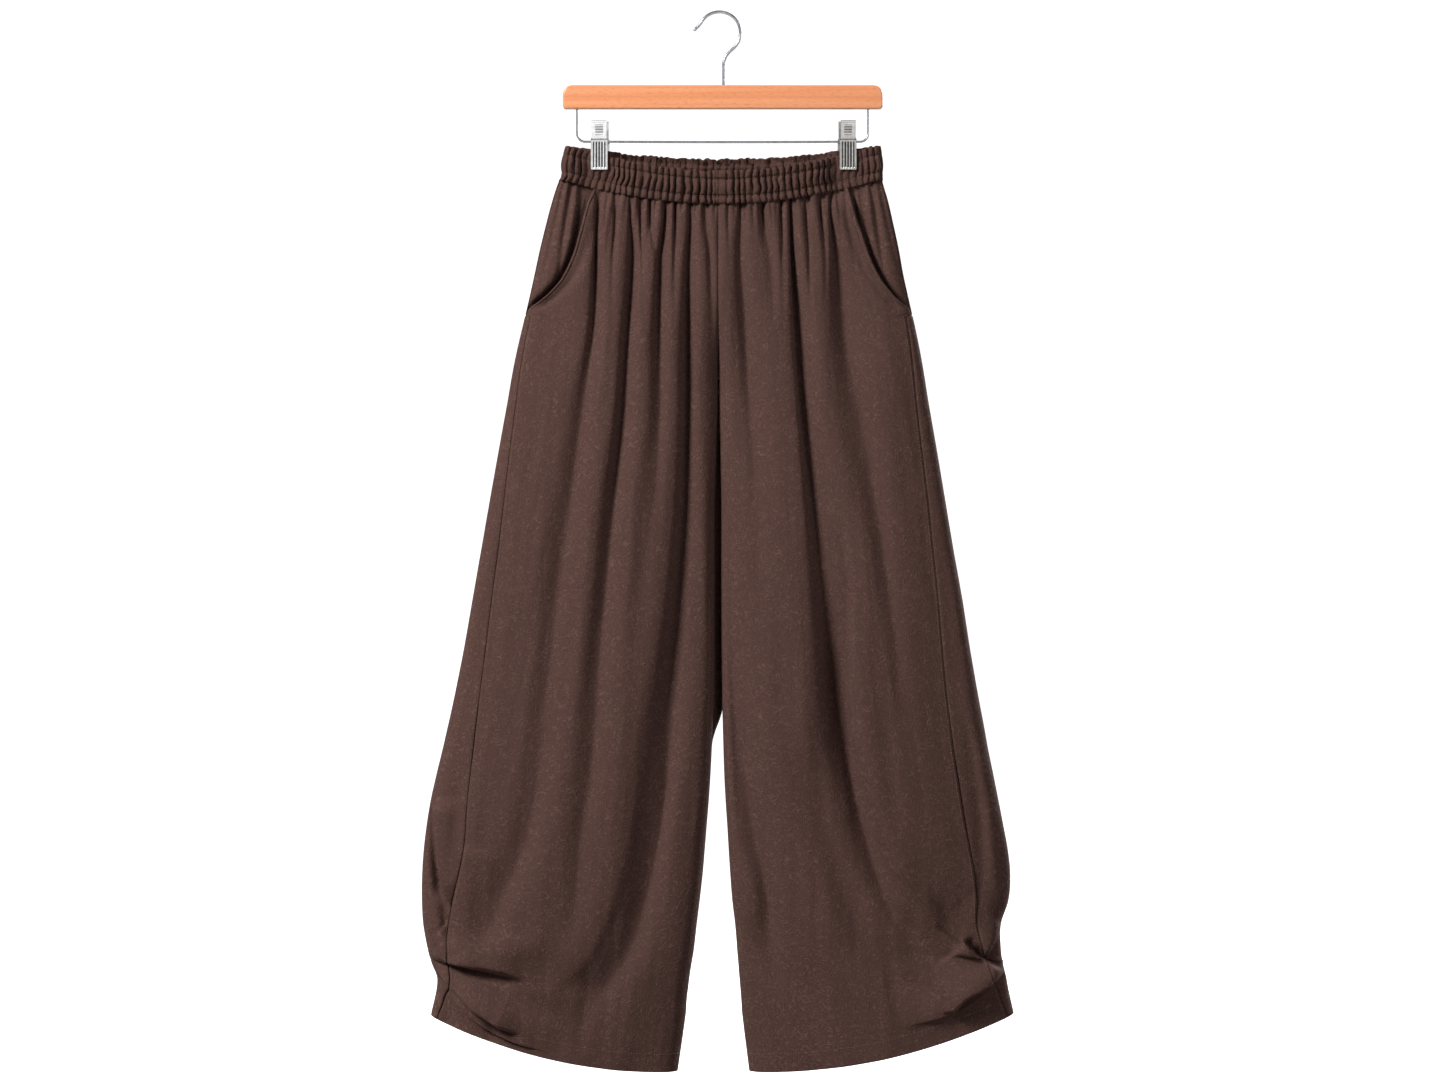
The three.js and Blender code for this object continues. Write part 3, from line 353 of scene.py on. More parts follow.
def closed_sheet(outer, inner, every):
    """A thin closed wall between an outer grid and an inner one. With every 1 they match, and quads close
    the border; with every 2 the inner grid has every second row and column, and three triangles join each
    of its border steps to the outer grid."""
    rows, columns = outer.shape[:2]
    inner_rows, inner_columns = inner.shape[:2]
    index = np.arange(rows * columns).reshape(rows, columns)
    inside = rows * columns + np.arange(inner_rows * inner_columns).reshape(inner_rows, inner_columns)
    quads = []
    for grid, order in ((index, [0, 1, 2, 3]), (inside, [0, 3, 2, 1])):
        corners = [grid[:-1, :-1], grid[1:, :-1], grid[1:, 1:], grid[:-1, 1:]]
        quads.append(np.stack(corners, -1).reshape(-1, 4)[:, order])
    triangles = []
    for out_line, in_line in ((index[0], inside[0]), (index[:, -1], inside[:, -1]),
                              (index[-1, ::-1], inside[-1, ::-1]), (index[::-1, 0], inside[::-1, 0])):
        if every == 1:
            quads.append(np.stack([out_line[:-1], out_line[1:], in_line[1:], in_line[:-1]], -1))
            continue
        start, middle, stop = out_line[:-1:2], out_line[1::2], out_line[2::2]
        first, second = in_line[:-1], in_line[1:]
        triangles += [np.stack([start, middle, first], -1), np.stack([middle, second, first], -1),
                      np.stack([middle, stop, second], -1)]
    points = np.concatenate([outer.reshape(-1, 3), inner.reshape(-1, 3)])
    return points, np.concatenate(quads), np.concatenate(triangles) if triangles else np.zeros((0, 3), int)


def coil(centre, turns=7):
    """The spring: a wire 1.2 mm thick wound round the lower wire, its angle growing evenly along X."""
    t = np.linspace(0, 1, turns * 16)
    angle = t * turns * 2 * np.pi
    radius = jaw_inside - 0.35 - 0.6
    y, z = radius * np.cos(angle), -wire_drop + radius * np.sin(angle)
    return rod(np.stack([centre + (t - 0.5) * 10.6, y, z], -1), 0.6, 8)


def stamped_plate(name, colour, low, high):
    """Nickel plate on pressed steel as on the wire, with painted shade: the slots, the hollows between the
    ridges, the bend and the rim are painted darker, as far as the map of painted shade from clip_plate
    says."""
    material = nickel_plate(name, colour, low, high)
    tree = material.node_tree
    metal = next(node for node in tree.nodes if node.type == "BSDF_PRINCIPLED")
    clean = metal.inputs["Base Color"].links[0].from_socket
    depth = add_node(tree, "UVMap", {"uv_map": "press_depth"})
    apart = add_node(tree, "SeparateXYZ", {}, [(depth, "Vector")])
    shade = add_node(tree, "MapRange", {"From Min": 0.15, "From Max": 0.85, "To Max": 0.9},
                     [(apart, "Value")])
    # painted shade: the plate's colour goes towards dark grey where the map of painted shade is high
    add_node(tree, "Mix", {"data_type": "RGBA", 7: linear("#2c2b2a")},
             [(shade, 0), (clean, 6)])
    tree.links.new(tree.nodes[-1].outputs[2], metal.inputs["Base Color"])
    return material


# Both clips are the same nickel-plated steel: the left one is painted lighter as painted light, and the
# right one darker as painted shade
clip_nickel_painted_lit = stamped_plate("stamped_nickel_painted_lit", ("#b8b8b8", "#cacaca"), 0.26, 0.33)
clip_nickel_painted_shade = stamped_plate("stamped_nickel_painted_shade", ("#918f8d", "#a3a19f"), 0.26, 0.33)
for where, centre in clip_places.items():
    plate_finish = clip_nickel_painted_lit if where == "left" else clip_nickel_painted_shade
    for face, node in ((-1, f"clip_{where}_front_plate"), (1, f"clip_{where}_rear_plate")):
        plate_mesh, plate_painted_shade = clip_plate(centre, face)
        plate = make_piece(f"{node}_pressed", *plate_mesh, plate_finish, "clip_steel", plate_painted_shade,
                           "press_depth")
        plate.data.set_sharp_from_angle(angle=math.radians(40))
        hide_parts(node)
    spring = make_piece(f"clip_{where}_coil", *coil(centre), bright_wire, "clip_steel")
    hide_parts(f"clip_{where}_spring")


# The body of cloth that all the pieces lie on. The pants hang flat from the clips, both layers together
# at the top and swelling below; each leg is a rounded tube, and its edges are soft folds. The tables give
# half the outline in millimetres at each drop below the hook, and half the thickness front to back.
garment_x, seam_gap = 2.2, 0.3
band_wall, leg_wall, hip_wall = 1.7, 1.1, 0.7
edge_radius_in, edge_radius_out, inner_length, fillet_length = 15.0, 13.0, 22.0, 36.0
hips_end, legs_start = 285, 424
outline = {
    "drop": [144, 160, 178, 184, 204, 231, 258, 285, 313, 340, 367, 394, 422, 476, 531, 585, 640, 695,
             750, 777, 804, 832, 859, 886, 913, 941, 968, 995, 1023, 1036, 1050, 1062, 1077, 1093, 1154],
    "left": [169.5, 174.0, 174.5, 178.0, 184.6, 191.8, 198.4, 204.2, 210.4, 216.8, 223.2, 228.6, 233.4,
             243.2, 253.0, 262.4, 272.0, 281.6, 292.6, 298.6, 304.8, 311.6, 317.6, 322.0, 325.2, 327.0,
             327.2, 325.6, 320.4, 316.8, 311.2, 310.6, 313.6, 317.2, 321.0],
    "right": [173.0, 175.5, 175.5, 176.0, 181.8, 188.0, 193.8, 198.6, 204.8, 211.0, 216.6, 221.4, 225.8,
              235.2, 244.4, 253.4, 263.2, 271.8, 281.4, 286.6, 291.4, 297.2, 302.6, 307.8, 312.8, 315.4,
              313.4, 305.0, 305.4, 307.4, 310.4, 312.6, 316.0, 319.4, 323.0],
    "inner_left": [3.3, 3.3, 3.3, 3.3, 3.3, 3.3, 3.3, 3.3, 3.3, 3.3, 3.4, 3.5, 3.6, 5.4, 7.6, 7.6, 7.6,
                   7.8, 8.4, 9.4, 10.4, 11.8, 13.6, 15.8, 18.0, 20.4, 23.5, 26.8, 30.0, 32.2, 34.4,
                   35.9, 37.7, 38.8, 47.5],
    "inner_right": [-3.3, -3.3, -3.3, -3.3, -3.3, -3.3, -3.3, -3.3, -3.3, -3.3, -3.2, -3.1, -3.0, -1.8,
                    -0.5, -0.5, -0.5, -0.2, 0.5, 1.2, 1.9, 2.8, 4.2, 6.0, 7.6, 9.4, 11.5, 14.7, 16.9,
                    18.0, 19.1, 20.1, 21.3, 22.4, 30.0]}
band_drop, clip_gap = 178.0, 3.1
thickness = {"drop": [144, 184, 230, 313, 422, 640, 850, 968, 1093, 1154],
             "edge": [6, 7.5, 9, 11, 13, 15, 17, 18, 15, 14],
             "middle": [13, 18, 23, 30, 35, 41, 47, 48, 42, 39]}


def cubic(t, start, stop, rise_start, rise_stop):
    """A cubic from start at t 0 to stop at t 1, whose slopes there are the two rises."""
    return ((2 * t ** 3 - 3 * t ** 2 + 1) * start + (t ** 3 - 2 * t ** 2 + t) * rise_start
            + (3 * t ** 2 - 2 * t ** 3) * stop + (t ** 3 - t ** 2) * rise_stop)


def table_at(table, column, drop):
    """A table's column at each drop: a cubic between its rows that keeps, at each row, the slope between
    the rows on both sides of it."""
    rows, values = np.array(table["drop"], float), np.array(table[column], float)
    last = len(rows) - 1
    before, after = np.maximum(np.arange(last + 1) - 1, 0), np.minimum(np.arange(last + 1) + 1, last)
    slopes = (values[after] - values[before]) / (rows[after] - rows[before])
    row = np.clip(np.searchsorted(rows, drop) - 1, 0, last - 1)
    span = rows[row + 1] - rows[row]
    t = np.clip((drop - rows[row]) / span, 0, 1)
    return cubic(t, values[row], values[row + 1], span * slopes[row], span * slopes[row + 1])


def side_name(side):
    """The viewer's left is side -1."""
    return "left" if side < 0 else "right"


def mix(a, b, share):
    """a at share 0, b at share 1, straight between."""
    return a + (b - a) * share


def inner_distance(side, drop):
    """How far the inner edge of a half lies from the centre line, half a seam's gap included."""
    return table_at(outline, "inner_" + side_name(side), drop) + seam_gap / 2


def leg_width(side, drop):
    """Distance from the inner edge to the outline."""
    return table_at(outline, side_name(side), drop) - inner_distance(side, drop)


def half_section(side, place, drop):
    """Where a place round one half of the garment lies. Place runs 0 to 1 round the inner fold, 1 to 2
    over the front, 2 to 3 round the outline, 3 to 4 over the back and 4 to 5 to the inner fold. Round the
    folds the width goes as 1 - cos or 1 - sin of the angle and the depth as its sine; over the faces the
    depth swells with a power of the sine across a leg, or of the cosine from the middle of the hips."""
    inner, width = inner_distance(side, drop), leg_width(side, drop)
    edge, middle = table_at(thickness, "edge", drop), table_at(thickness, "middle", drop)
    joined = 1 - smooth(hips_end, legs_start, drop)
    from_inner = np.where(place <= 2.5, place, 5 - place)
    r_in, r_out = edge_radius_in / width, edge_radius_out / width
    first, last = from_inner * np.pi / 2, (from_inner - 2) * np.pi
    share = np.where(from_inner < 1, r_in * mix(1 - np.cos(first), from_inner, joined),
                     np.where(from_inner > 2, 1 - r_out * (1 - np.sin(last)),
                              mix(r_in, 1 - r_out, from_inner - 1)))
    rim = np.where(from_inner < 1, mix(np.sin(np.clip(first, 0, None)), 1, joined),
                   np.where(from_inner > 2, np.cos(np.clip(last, 0, np.pi / 2)), 1.0))
    across = np.clip(share, 0, 1)
    swell = mix(np.sin(np.pi * across).clip(0) ** 0.75, np.cos(np.pi / 2 * across).clip(0) ** 0.75, joined)
    full = edge * rim + (middle - edge) * swell
    x = side * (inner + width * share)
    clip_x = np.where(x < 0, clip_places["left"], clip_places["right"]) - garment_x
    hold = (1 - smooth(11, 36, np.abs(x - clip_x))) * (1 - smooth(182, 214, drop))
    return {"x": x, "depth": mix(full, np.minimum(full, clip_gap * rim), hold), "share": share, "rim": rim,
            "hold": hold, "face": np.where(place <= 2.5, -1.0, 1.0)}


def sagging_drop(side_drop, sag, x):
    """Drop of an edge of the band: lower by sag at the centre, as (1 - (x / 173) squared) to the 1.2."""
    share = np.clip(np.abs(x) / 173.0, 0, 1)
    return side_drop + sag * (1 - share ** 2) ** 1.2


def waist_seam_drop(x, face):
    """Drop of the seam between the band and the legs."""
    return sagging_drop(181.8, np.where(face < 0, 26.8, 13.2), x)


def grid_normals(grid, outwards):
    """Unit normals of a grid: the cross product of the steps down its rows and along them."""
    return unit(np.cross(np.gradient(grid, axis=0), np.gradient(grid, axis=1))) * outwards


def least_near(values, reach):
    """The least value within some rows and columns of each place."""
    for axis in (0, 1):
        padded = np.pad(values, [(reach, reach) if a == axis else (0, 0) for a in (0, 1)], mode="edge")
        count = values.shape[axis]
        slices = [np.take(padded, np.arange(k, k + count), axis=axis) for k in range(2 * reach + 1)]
        values = np.min(slices, axis=0)
    return values


def cloth_wall(grid, normals, face, wall):
    """Outer and inner surface of a piece of cloth. The inner one has every second row and column, moved in
    along the normals by the wall, and where the cloth faces forwards or back it also keeps that far behind
    the deepest point near it, so that it never comes through a sharp fold."""
    flat = np.abs(normals[..., 1]) ** 2
    behind = least_near(grid[..., 1] * face, 2) - wall
    inner = grid - normals * wall
    inner[..., 1] = mix(inner[..., 1], face * np.minimum(inner[..., 1] * face, behind), flat)
    inner[..., 1] = face * np.maximum(inner[..., 1] * face, 0.12)
    return inner[::2, ::2]


def soft_noise(across, along, cell_across, cell_along, seed):
    """Smooth random swell from -1 to 1: values on a coarse lattice, joined by 3 t squared - 2 t cubed."""
    lattice = np.random.default_rng(seed).uniform(-1, 1, (256, 256))
    u, v = across / cell_across + 1000.0, along / cell_along + 1000.0
    i, j = np.floor(u).astype(int), np.floor(v).astype(int)
    s, t = smooth(0, 1, u - i), smooth(0, 1, v - j)
    near = mix(lattice[i % 256, j % 256], lattice[(i + 1) % 256, j % 256], s)
    far = mix(lattice[i % 256, (j + 1) % 256], lattice[(i + 1) % 256, (j + 1) % 256], s)
    return mix(near, far, t)


def brown_cloth(name, dark, light, crinkle_highlight):
    """Soft woven viscose in brown, with a crinkled face. Threads 0.5 mm apart are too fine to show, so
    the weave is drawn about three times as coarse, as a faint grain. The crinkles are short bent lines
    about 7 mm apart where the cloth stands up: the places where soft noise crosses its middle value. They
    are bumped and painted half way to the lighter third colour, a painted highlight where light catches
    them.
    The dye clouds a little over some millimetres, and a short nap gives a soft sheen."""
    material, tree = new_finish(name)
    run = add_node(tree, "UVMap", {"uv_map": "cloth_run"})
    cloud = add_node(tree, "TexNoise", {"Scale": 34.0, "Detail": 3.0, "Roughness": 0.6},
                     [(run, "Vector")])
    speckle = add_node(tree, "TexNoise", {"Scale": 520.0, "Detail": 3.0, "Roughness": 0.7},
                       [(run, "Vector")])
    turned = add_node(tree, "Mapping", {"Rotation": (0.0, 0.0, 1.1), "Scale": (1.0, 0.3, 1.0)},
                      [(run, "Vector")])
    twill = add_node(tree, "TexNoise", {"Scale": 620.0, "Detail": 2.0, "Roughness": 0.5},
                     [(turned, "Vector")])
    ripple = add_node(tree, "TexNoise", {"Scale": 125.0, "Detail": 1.5, "Distortion": 1.8},
                      [(run, "Vector")])
    away = add_node(tree, "Math", {"operation": "SUBTRACT", 1: 0.5}, [(ripple, 0)])
    size = add_node(tree, "Math", {"operation": "ABSOLUTE"}, [(away, 0)])
    line = add_node(tree, "MapRange", {"From Min": 0.0, "From Max": 0.055, "To Min": 1.0, "To Max": 0.0},
                    [(size, "Value")])
    faint = add_node(tree, "Math", {"operation": "MULTIPLY", 1: 0.3}, [(cloud, 0)])
    part = add_node(tree, "Math", {"operation": "MULTIPLY_ADD", 1: 1.0},
                    [(speckle, 0), (faint, 2)])
    whole = add_node(tree, "Math", {"operation": "MULTIPLY_ADD", 1: 0.9},
                     [(twill, 0), (part, 2)])
    share = add_node(tree, "MapRange", {"From Min": 0.65, "From Max": 1.55}, [(whole, "Value")])
    colour = colour_steps(tree, share, [(0.0, dark), (1.0, light)])
    # painted highlight: half way towards the lighter colour along the crinkle lines
    highlight_share = add_node(tree, "Math", {"operation": "MULTIPLY", 1: 0.5}, [(line, 0)])
    dye_and_highlight = add_node(tree, "Mix", {"data_type": "RGBA", 7: linear(crinkle_highlight)},
                    [(highlight_share, 0), (colour, 6)])
    crinkle = add_node(tree, "Bump", {"Strength": 0.5, "Distance": 0.001}, [(line, "Height")])
    weave = add_node(tree, "Bump", {"Strength": 0.22, "Distance": 0.0006},
                     [(twill, "Height"), (crinkle, "Normal")])
    grain = add_node(tree, "Bump", {"Strength": 0.15, "Distance": 0.0006},
                     [(speckle, "Height"), (weave, "Normal")])
    shader = add_node(tree, "BsdfPrincipled",
                      {"Roughness": 0.88, "IOR": 1.45, "Specular IOR Level": 0.08, "Sheen Weight": 0.05,
                       "Sheen Roughness": 0.45, "Sheen Tint": linear("#b79a8e")},
                      [(dye_and_highlight.outputs[2], "Base Color"), (grain, "Normal")])
    add_node(tree, "OutputMaterial", {}, [(shader, "Surface")])
    return material


# The cloth's dark and light tones, then the lighter colour of its painted highlight
cloth = brown_cloth("brown_crinkled_viscose", "#3e2b27", "#543d37", "#6b524b")
# The band: the same cloth painted darker all over, as painted shade for the shade among its gathers
band_cloth = brown_cloth("brown_viscose_band_painted_shade", "#3b2925", "#503933", "#634a43")


# The waistband. A folded strip of the same cloth, sewn as a casing over elastic and gathered by it all
# round, with two rows of stitches through all layers; front and back halves hang one behind the other.
band_rows = {"drop": [0.0, 0.1, 0.2, 0.26, 0.34, 0.52, 0.7, 0.76, 0.84, 0.94, 1.0],
             "out": [0.2, 0.8, 0.6, -0.9, 0.5, 1.3, 0.6, -0.9, 0.4, 0.6, -0.8],
             "gather": [1.0, 1.15, 1.0, 0.75, 1.2, 1.5, 1.2, 0.8, 1.15, 1.2, 0.9]}


def round_band(side, count):
    """Places at even distances round one half of a face of the band, from the centre to the outline."""
    place = np.linspace(1e-6, 2.5 - 1e-6, 400)
    section = half_section(side, place, band_drop)
    length = np.concatenate([[0], np.cumsum(np.hypot(np.diff(section["x"]), np.diff(section["depth"])))])
    return np.interp(np.linspace(0, length[-1], count), length, place), length[-1]


def puffs(distance, zone, seed):
    """Gathers of cloth drawn up by elastic, 7.3 mm apart: rounded ridges with sharp valleys, 1 - 2.5 times
    |cos| to the 5. Their spacing wanders with soft noise and shifts a little from one zone between stitch
    rows to the next."""
    wander = (2.6 * soft_noise(distance, zone * 0 + 3.1, 15, 1, seed)
              + 1.1 * soft_noise(distance, zone, 11, 0.8, seed + 1))
    phase = (distance + wander) / 7.3
    tall = 0.72 + 0.4 * soft_noise(distance, zone, 9, 1.4, seed + 2)
    return (1 - 2.5 * np.abs(np.cos(np.pi * phase)) ** 5) * tall


def waistband(face):
    """The band as a grid, from its top edge to the seam and from outline to outline. Its depth is that of
    the body of cloth plus the casing's own roundness and the gathers, both less where a clip holds it."""
    rows, half = 65, 235
    grids = []
    share = np.linspace(0, 1, rows)[:, None]
    for side in (-1, 1):
        from_inner, length = round_band(side, half)
        if side < 0:
            from_inner = from_inner[::-1]
        place = from_inner if face < 0 else 5 - from_inner
        place = np.broadcast_to(place, (rows, half))
        guess = half_section(side, place, band_drop)
        top = sagging_drop(144.7, 28.4 if face < 0 else 13.0, guess["x"])
        drop = mix(top, waist_seam_drop(guess["x"], face) + 0.9, share)
        section = half_section(side, place, drop)
        along = np.linspace(0, length, half)[None, :] * side
        along = along[:, ::-1] if side < 0 else along
        loose = np.clip((section["depth"] - clip_gap) / 5 + 0.35, 0.35, 1)
        zone = np.broadcast_to(share * 4.2, drop.shape)
        wave = puffs(np.broadcast_to(along, drop.shape), zone, 5 + face)
        patch = 1 - smooth(4.5, 7.5, np.abs(section["x"] + 0.6)) if face < 0 else 0.0
        wave = wave * (1 - patch) + patch * 0.45
        wave = wave * table_at(band_rows, "gather", share) * loose * 2.3
        seam = -1.6 * np.exp(-((section["x"] + 2.8) / 0.7) ** 2) if face < 0 else 0.0
        rim = section["rim"]
        depth = section["depth"] + (table_at(band_rows, "out", share) * loose + wave + seam) * rim
        x = section["x"] + np.sign(section["x"]) * wave * (1 - rim)
        ruffle = 0.9 * soft_noise(along, share * 0, 5.5, 1, 12 + face) - 0.35 * wave
        ruffle = ruffle * (1 - smooth(0, 0.14, share))
        grids.append(np.stack([x, face * (depth + seam_gap / 2), -drop - ruffle * loose * rim], -1))
    return np.concatenate([grids[0], grids[1][:, 1:]], 1)


def cloth_piece(name, grid, face, outwards, wall, material, slot, node):
    """Makes a piece of cloth from its outer grid, in millimetres from the garment's centre line: its wall
    and its UV map along and across the threads; it hides the model's nodes that it replaces."""
    normals = grid_normals(grid, outwards)
    inner = cloth_wall(grid, normals, face, wall)
    steps = np.linalg.norm(np.diff(grid, axis=1, prepend=grid[:, :1]), axis=-1).mean(0).cumsum()
    falls = np.linalg.norm(np.diff(grid, axis=0, prepend=grid[:1]), axis=-1).mean(1).cumsum()
    spread = np.stack(np.meshgrid(steps, falls), -1)
    surface = np.concatenate([spread.reshape(-1, 2), spread[::2, ::2].reshape(-1, 2)])
    points, quads, triangles = closed_sheet(grid, inner, 2)
    piece = make_piece(name, points + (garment_x, 0, 0), quads, triangles, material, slot, surface)
    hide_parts(*node.split())
    return normals


bands = {}
for face, where in ((-1, "front"), (1, "back")):
    grid = waistband(face)
    normals = cloth_piece(f"band_{where}", grid, face, -face, band_wall, band_cloth, "band_cloth",
                          f"waistband_{where}")
    bands[face] = (grid, normals)


# The legs. Four panels of the same cloth, cut wide and sewn to the band with the width drawn up in
# gathers, which open downwards into long hanging folds. Tucks in each side seam lift the hem there.

# Key rows, from inside the band to the hem. Each has a drop at the leg's inner edge and one at its outer
# edge, below the band's seam or below the hook, or it lies at a line across the leg or a share of the way
# to another line. The tucks push it out and up, and some fine rows follow it.
panel_rows = [
    {"below_seam": True, "inner": -6, "outer": -5, "steps": 6},
    {"below_seam": True, "inner": 14, "outer": 13, "steps": 8},
    {"below_seam": True, "inner": 34, "outer": 36, "steps": 16},
    {"inner": 268, "outer": 258, "steps": 14}, {"inner": 303, "outer": 300, "steps": 16},
    {"inner": 345, "outer": 345, "steps": 12}, {"inner": 385, "outer": 385, "steps": 10},
    {"inner": 422, "outer": 425, "steps": 14}, {"inner": 480, "outer": 480, "steps": 18},
    {"inner": 560, "outer": 560, "steps": 20}, {"inner": 650, "outer": 650, "steps": 20},
    {"inner": 740, "outer": 735, "steps": 20}, {"inner": 820, "outer": 810, "steps": 18},
    {"inner": 885, "outer": 872, "steps": 24},
    {"start": "upper_tuck", "shift": -70, "out": 3, "reach": "upper", "steps": 14},
    {"start": "upper_tuck", "shift": -30, "out": 7, "reach": "upper", "steps": 12},
    {"start": "upper_tuck", "out": 8, "reach": "upper", "steps": 8},
    {"start": "upper_tuck", "stop": "lower_tuck", "share": 0.14, "out": -1, "up": 3, "reach": "upper",
     "steps": 14},
    {"start": "upper_tuck", "stop": "lower_tuck", "share": 0.5, "out": 7, "reach": "lower", "steps": 14},
    {"start": "upper_tuck", "stop": "lower_tuck", "share": 0.85, "out": 11, "reach": "lower", "steps": 10},
    {"start": "lower_tuck", "out": 10, "reach": "lower", "steps": 10},
    {"start": "lower_tuck", "stop": "hem", "share": 0.14, "out": 6, "up": 4, "reach": "lower", "steps": 8},
    {"start": "lower_tuck", "stop": "hem", "share": 0.3, "out": 2, "up": 6, "reach": "lower", "steps": 12},
    {"start": "lower_tuck", "stop": "hem", "share": 0.6, "out": 0, "up": 1, "reach": "lower", "steps": 14},
    {"start": "hem", "out": 0, "reach": "lower", "steps": 0},
]
lines_across = {
    -1: {"upper_tuck": (1061, 1028, 2), "lower_tuck": (1134, 1049, 4.2), "hem": (1154, 1093, 2)},
    1: {"upper_tuck": (1006, 1034, 3), "lower_tuck": (1104, 1044, 5), "hem": (1154, 1091, 2)}}
tuck_reach = {-1: {"upper": (0.6, 0.86), "lower": (0.5, 0.8)},
              1: {"upper": (0.76, 0.93), "lower": (0.52, 0.82)}}
side_seam = {"drop": [330, 450, 570, 655, 760, 860, 915, 970, 1010, 1093],
             "left": [0.97, 0.95, 0.924, 0.914, 0.895, 0.862, 0.853, 0.885, 0.915, 0.97],
             "right": [0.965, 0.933, 0.912, 0.893, 0.87, 0.858, 0.86, 0.88, 0.92, 0.97]}
pocket_edge = {"drop": [170, 185, 210, 239, 265, 290, 303, 313, 321],
               "left": [137.0, 138.1, 146.9, 154.5, 162.2, 174.2, 185.1, 196.0, 208.0],
               "right": [135.5, 137.0, 143.0, 152.0, 161.0, 173.0, 183.0, 192.0, 203.0]}

pocket_foot, seam_start, place_above_foot = 321, 330, 2.4
gather_height = 1.15
least_depth, least_at_tucks = 4.8, 1.5
legs_touch_from, legs_touch_to = (405, 440), (752, 808)

# Soft unevenness of the cloth: its height, the size of a swell across and along the leg, and its seed
soft_swells = ((1.5, 21, 210, 31), (0.8, 11, 120, 41), (0.28, 5, 40, 51))

# Long folds. At the fold rows each has its valley's distance from the centre line, its depth, and how far
# it reaches to the viewer's left and right; a short list holds its last value from there on down. Some
# open and run all the way down, and the short ones end below the gathers.
fold_drops = [190, 220, 269, 345, 444, 575, 706, 837, 902, 968, 1022, 1077, 1140]
front_folds = {
    -1: [
        {"at": [17, 18, 12.6, 8, 6], "deep": [4, 6, 6, 3, 0], "left": [4, 4, 5], "right": [4, 4, 5]},
        {"at": [34.4, 34.4, 36.6, 37.7, 39.3, 44.8, 56.2, 60.6, 69.3, 83.5, 101, 139, 176],
         "deep": [4, 8, 12, 15, 17, 18, 18, 18, 18, 16, 11, 6, 1],
         "left": [3.2, 3.2, 5, 6, 6, 7, 9, 24, 26, 24, 24, 28, 30],
         "right": [3.5, 4, 6, 8, 9, 15, 20, 9, 10, 16, 20, 24, 30]},
        {"at": [50.8, 50.8, 51, 52], "deep": [4, 7, 3, 0], "left": [3], "right": [3]},
        {"at": [61.7, 61.7, 67.2, 68.8, 67.7, 76, 86], "deep": [4, 9, 13, 14, 9, 3, 0],
         "left": [3.2, 3.2, 5, 7, 9, 12], "right": [3, 4, 6, 8, 9, 10]},
        {"at": [78, 78, 73, 70], "deep": [4, 6, 2, 0], "left": [3], "right": [3]},
        {"at": [89, 89, 86, 84], "deep": [4, 8, 3, 0], "left": [3], "right": [3]},
        {"at": [99.9, 99.9, 97.7, 102.1, 110.8, 121.8, 132.7, 142.5, 153.4, 160, 180, 200, 220],
         "deep": [4, 8, 14, 16, 15, 14, 12, 10, 8, 5, 2, 0, 0],
         "left": [3.2, 3.5, 6, 7, 6, 11, 14, 18, 16, 18], "right": [3, 4, 6, 7, 12, 9, 14, 20, 26, 20]},
        {"at": [116, 116, 118, 120], "deep": [4, 7, 3, 0], "left": [3], "right": [3]},
        {"at": [136, 136, 138, 140.3, 152.3, 168.7, 186.2, 201.5, 213.5, 240.8, 262],
         "deep": [4, 8, 14, 12, 10, 11, 10, 10, 10, 8, 4, 0],
         "left": [3, 3.2, 4, 6, 10, 16, 16, 24], "right": [3, 4, 6, 8, 12, 14, 18, 16, 14, 16]}],
    1: [
        {"at": [20.2, 20.2, 20.2, 25.7, 32.2, 40], "deep": [4, 7, 9, 9, 6, 2, 0],
         "left": [4, 4, 6, 8, 9, 10], "right": [3, 4, 6, 9, 10, 12]},
        {"at": [45, 45.3, 53, 58], "deep": [4, 8, 5, 0], "left": [4, 5, 7], "right": [3, 4, 7]},
        {"at": [64, 64, 66, 67], "deep": [4, 8, 3, 0], "left": [2.8], "right": [2.8]},
        {"at": [6, 6, 6, 6, 6, 7, 9, 25.7, 36.6, 50.8, 56.2, 80.3, 100],
         "deep": [0, 0, 0, 0, 0, 3, 8, 13, 14, 13, 10, 5, 1],
         "left": [8, 8, 8, 8, 8, 8, 10, 16, 14, 12, 22, 26, 30],
         "right": [12, 12, 12, 12, 12, 12, 18, 10, 12, 10, 20, 24, 30]},
        {"at": [74.8, 74.8, 75.9, 79.2, 86.8, 103.2, 118.5, 141.4, 156.7, 178.5, 211.3, 255, 280],
         "deep": [4, 10, 16, 18, 19, 20, 21, 20, 18, 15, 10, 4, 0],
         "left": [3, 3.2, 4, 4.5, 5, 8, 12, 26, 24, 22, 34, 36, 36],
         "right": [3, 4, 6, 14, 20, 24, 18, 11, 12, 12, 34, 36, 36]},
        {"at": [91.2, 91.2, 95, 97], "deep": [4, 7, 4, 0], "left": [3], "right": [3]},
        {"at": [107.6, 107.6, 112, 114], "deep": [4, 9, 4, 0], "left": [3], "right": [3]},
        {"at": [118.5, 118.5, 123, 132.7, 150.2, 173, 190], "deep": [5, 10, 15, 16, 14, 9, 3, 0],
         "left": [3, 3.5, 6, 12, 22, 12], "right": [3, 4, 14, 22, 16, 10]}]}
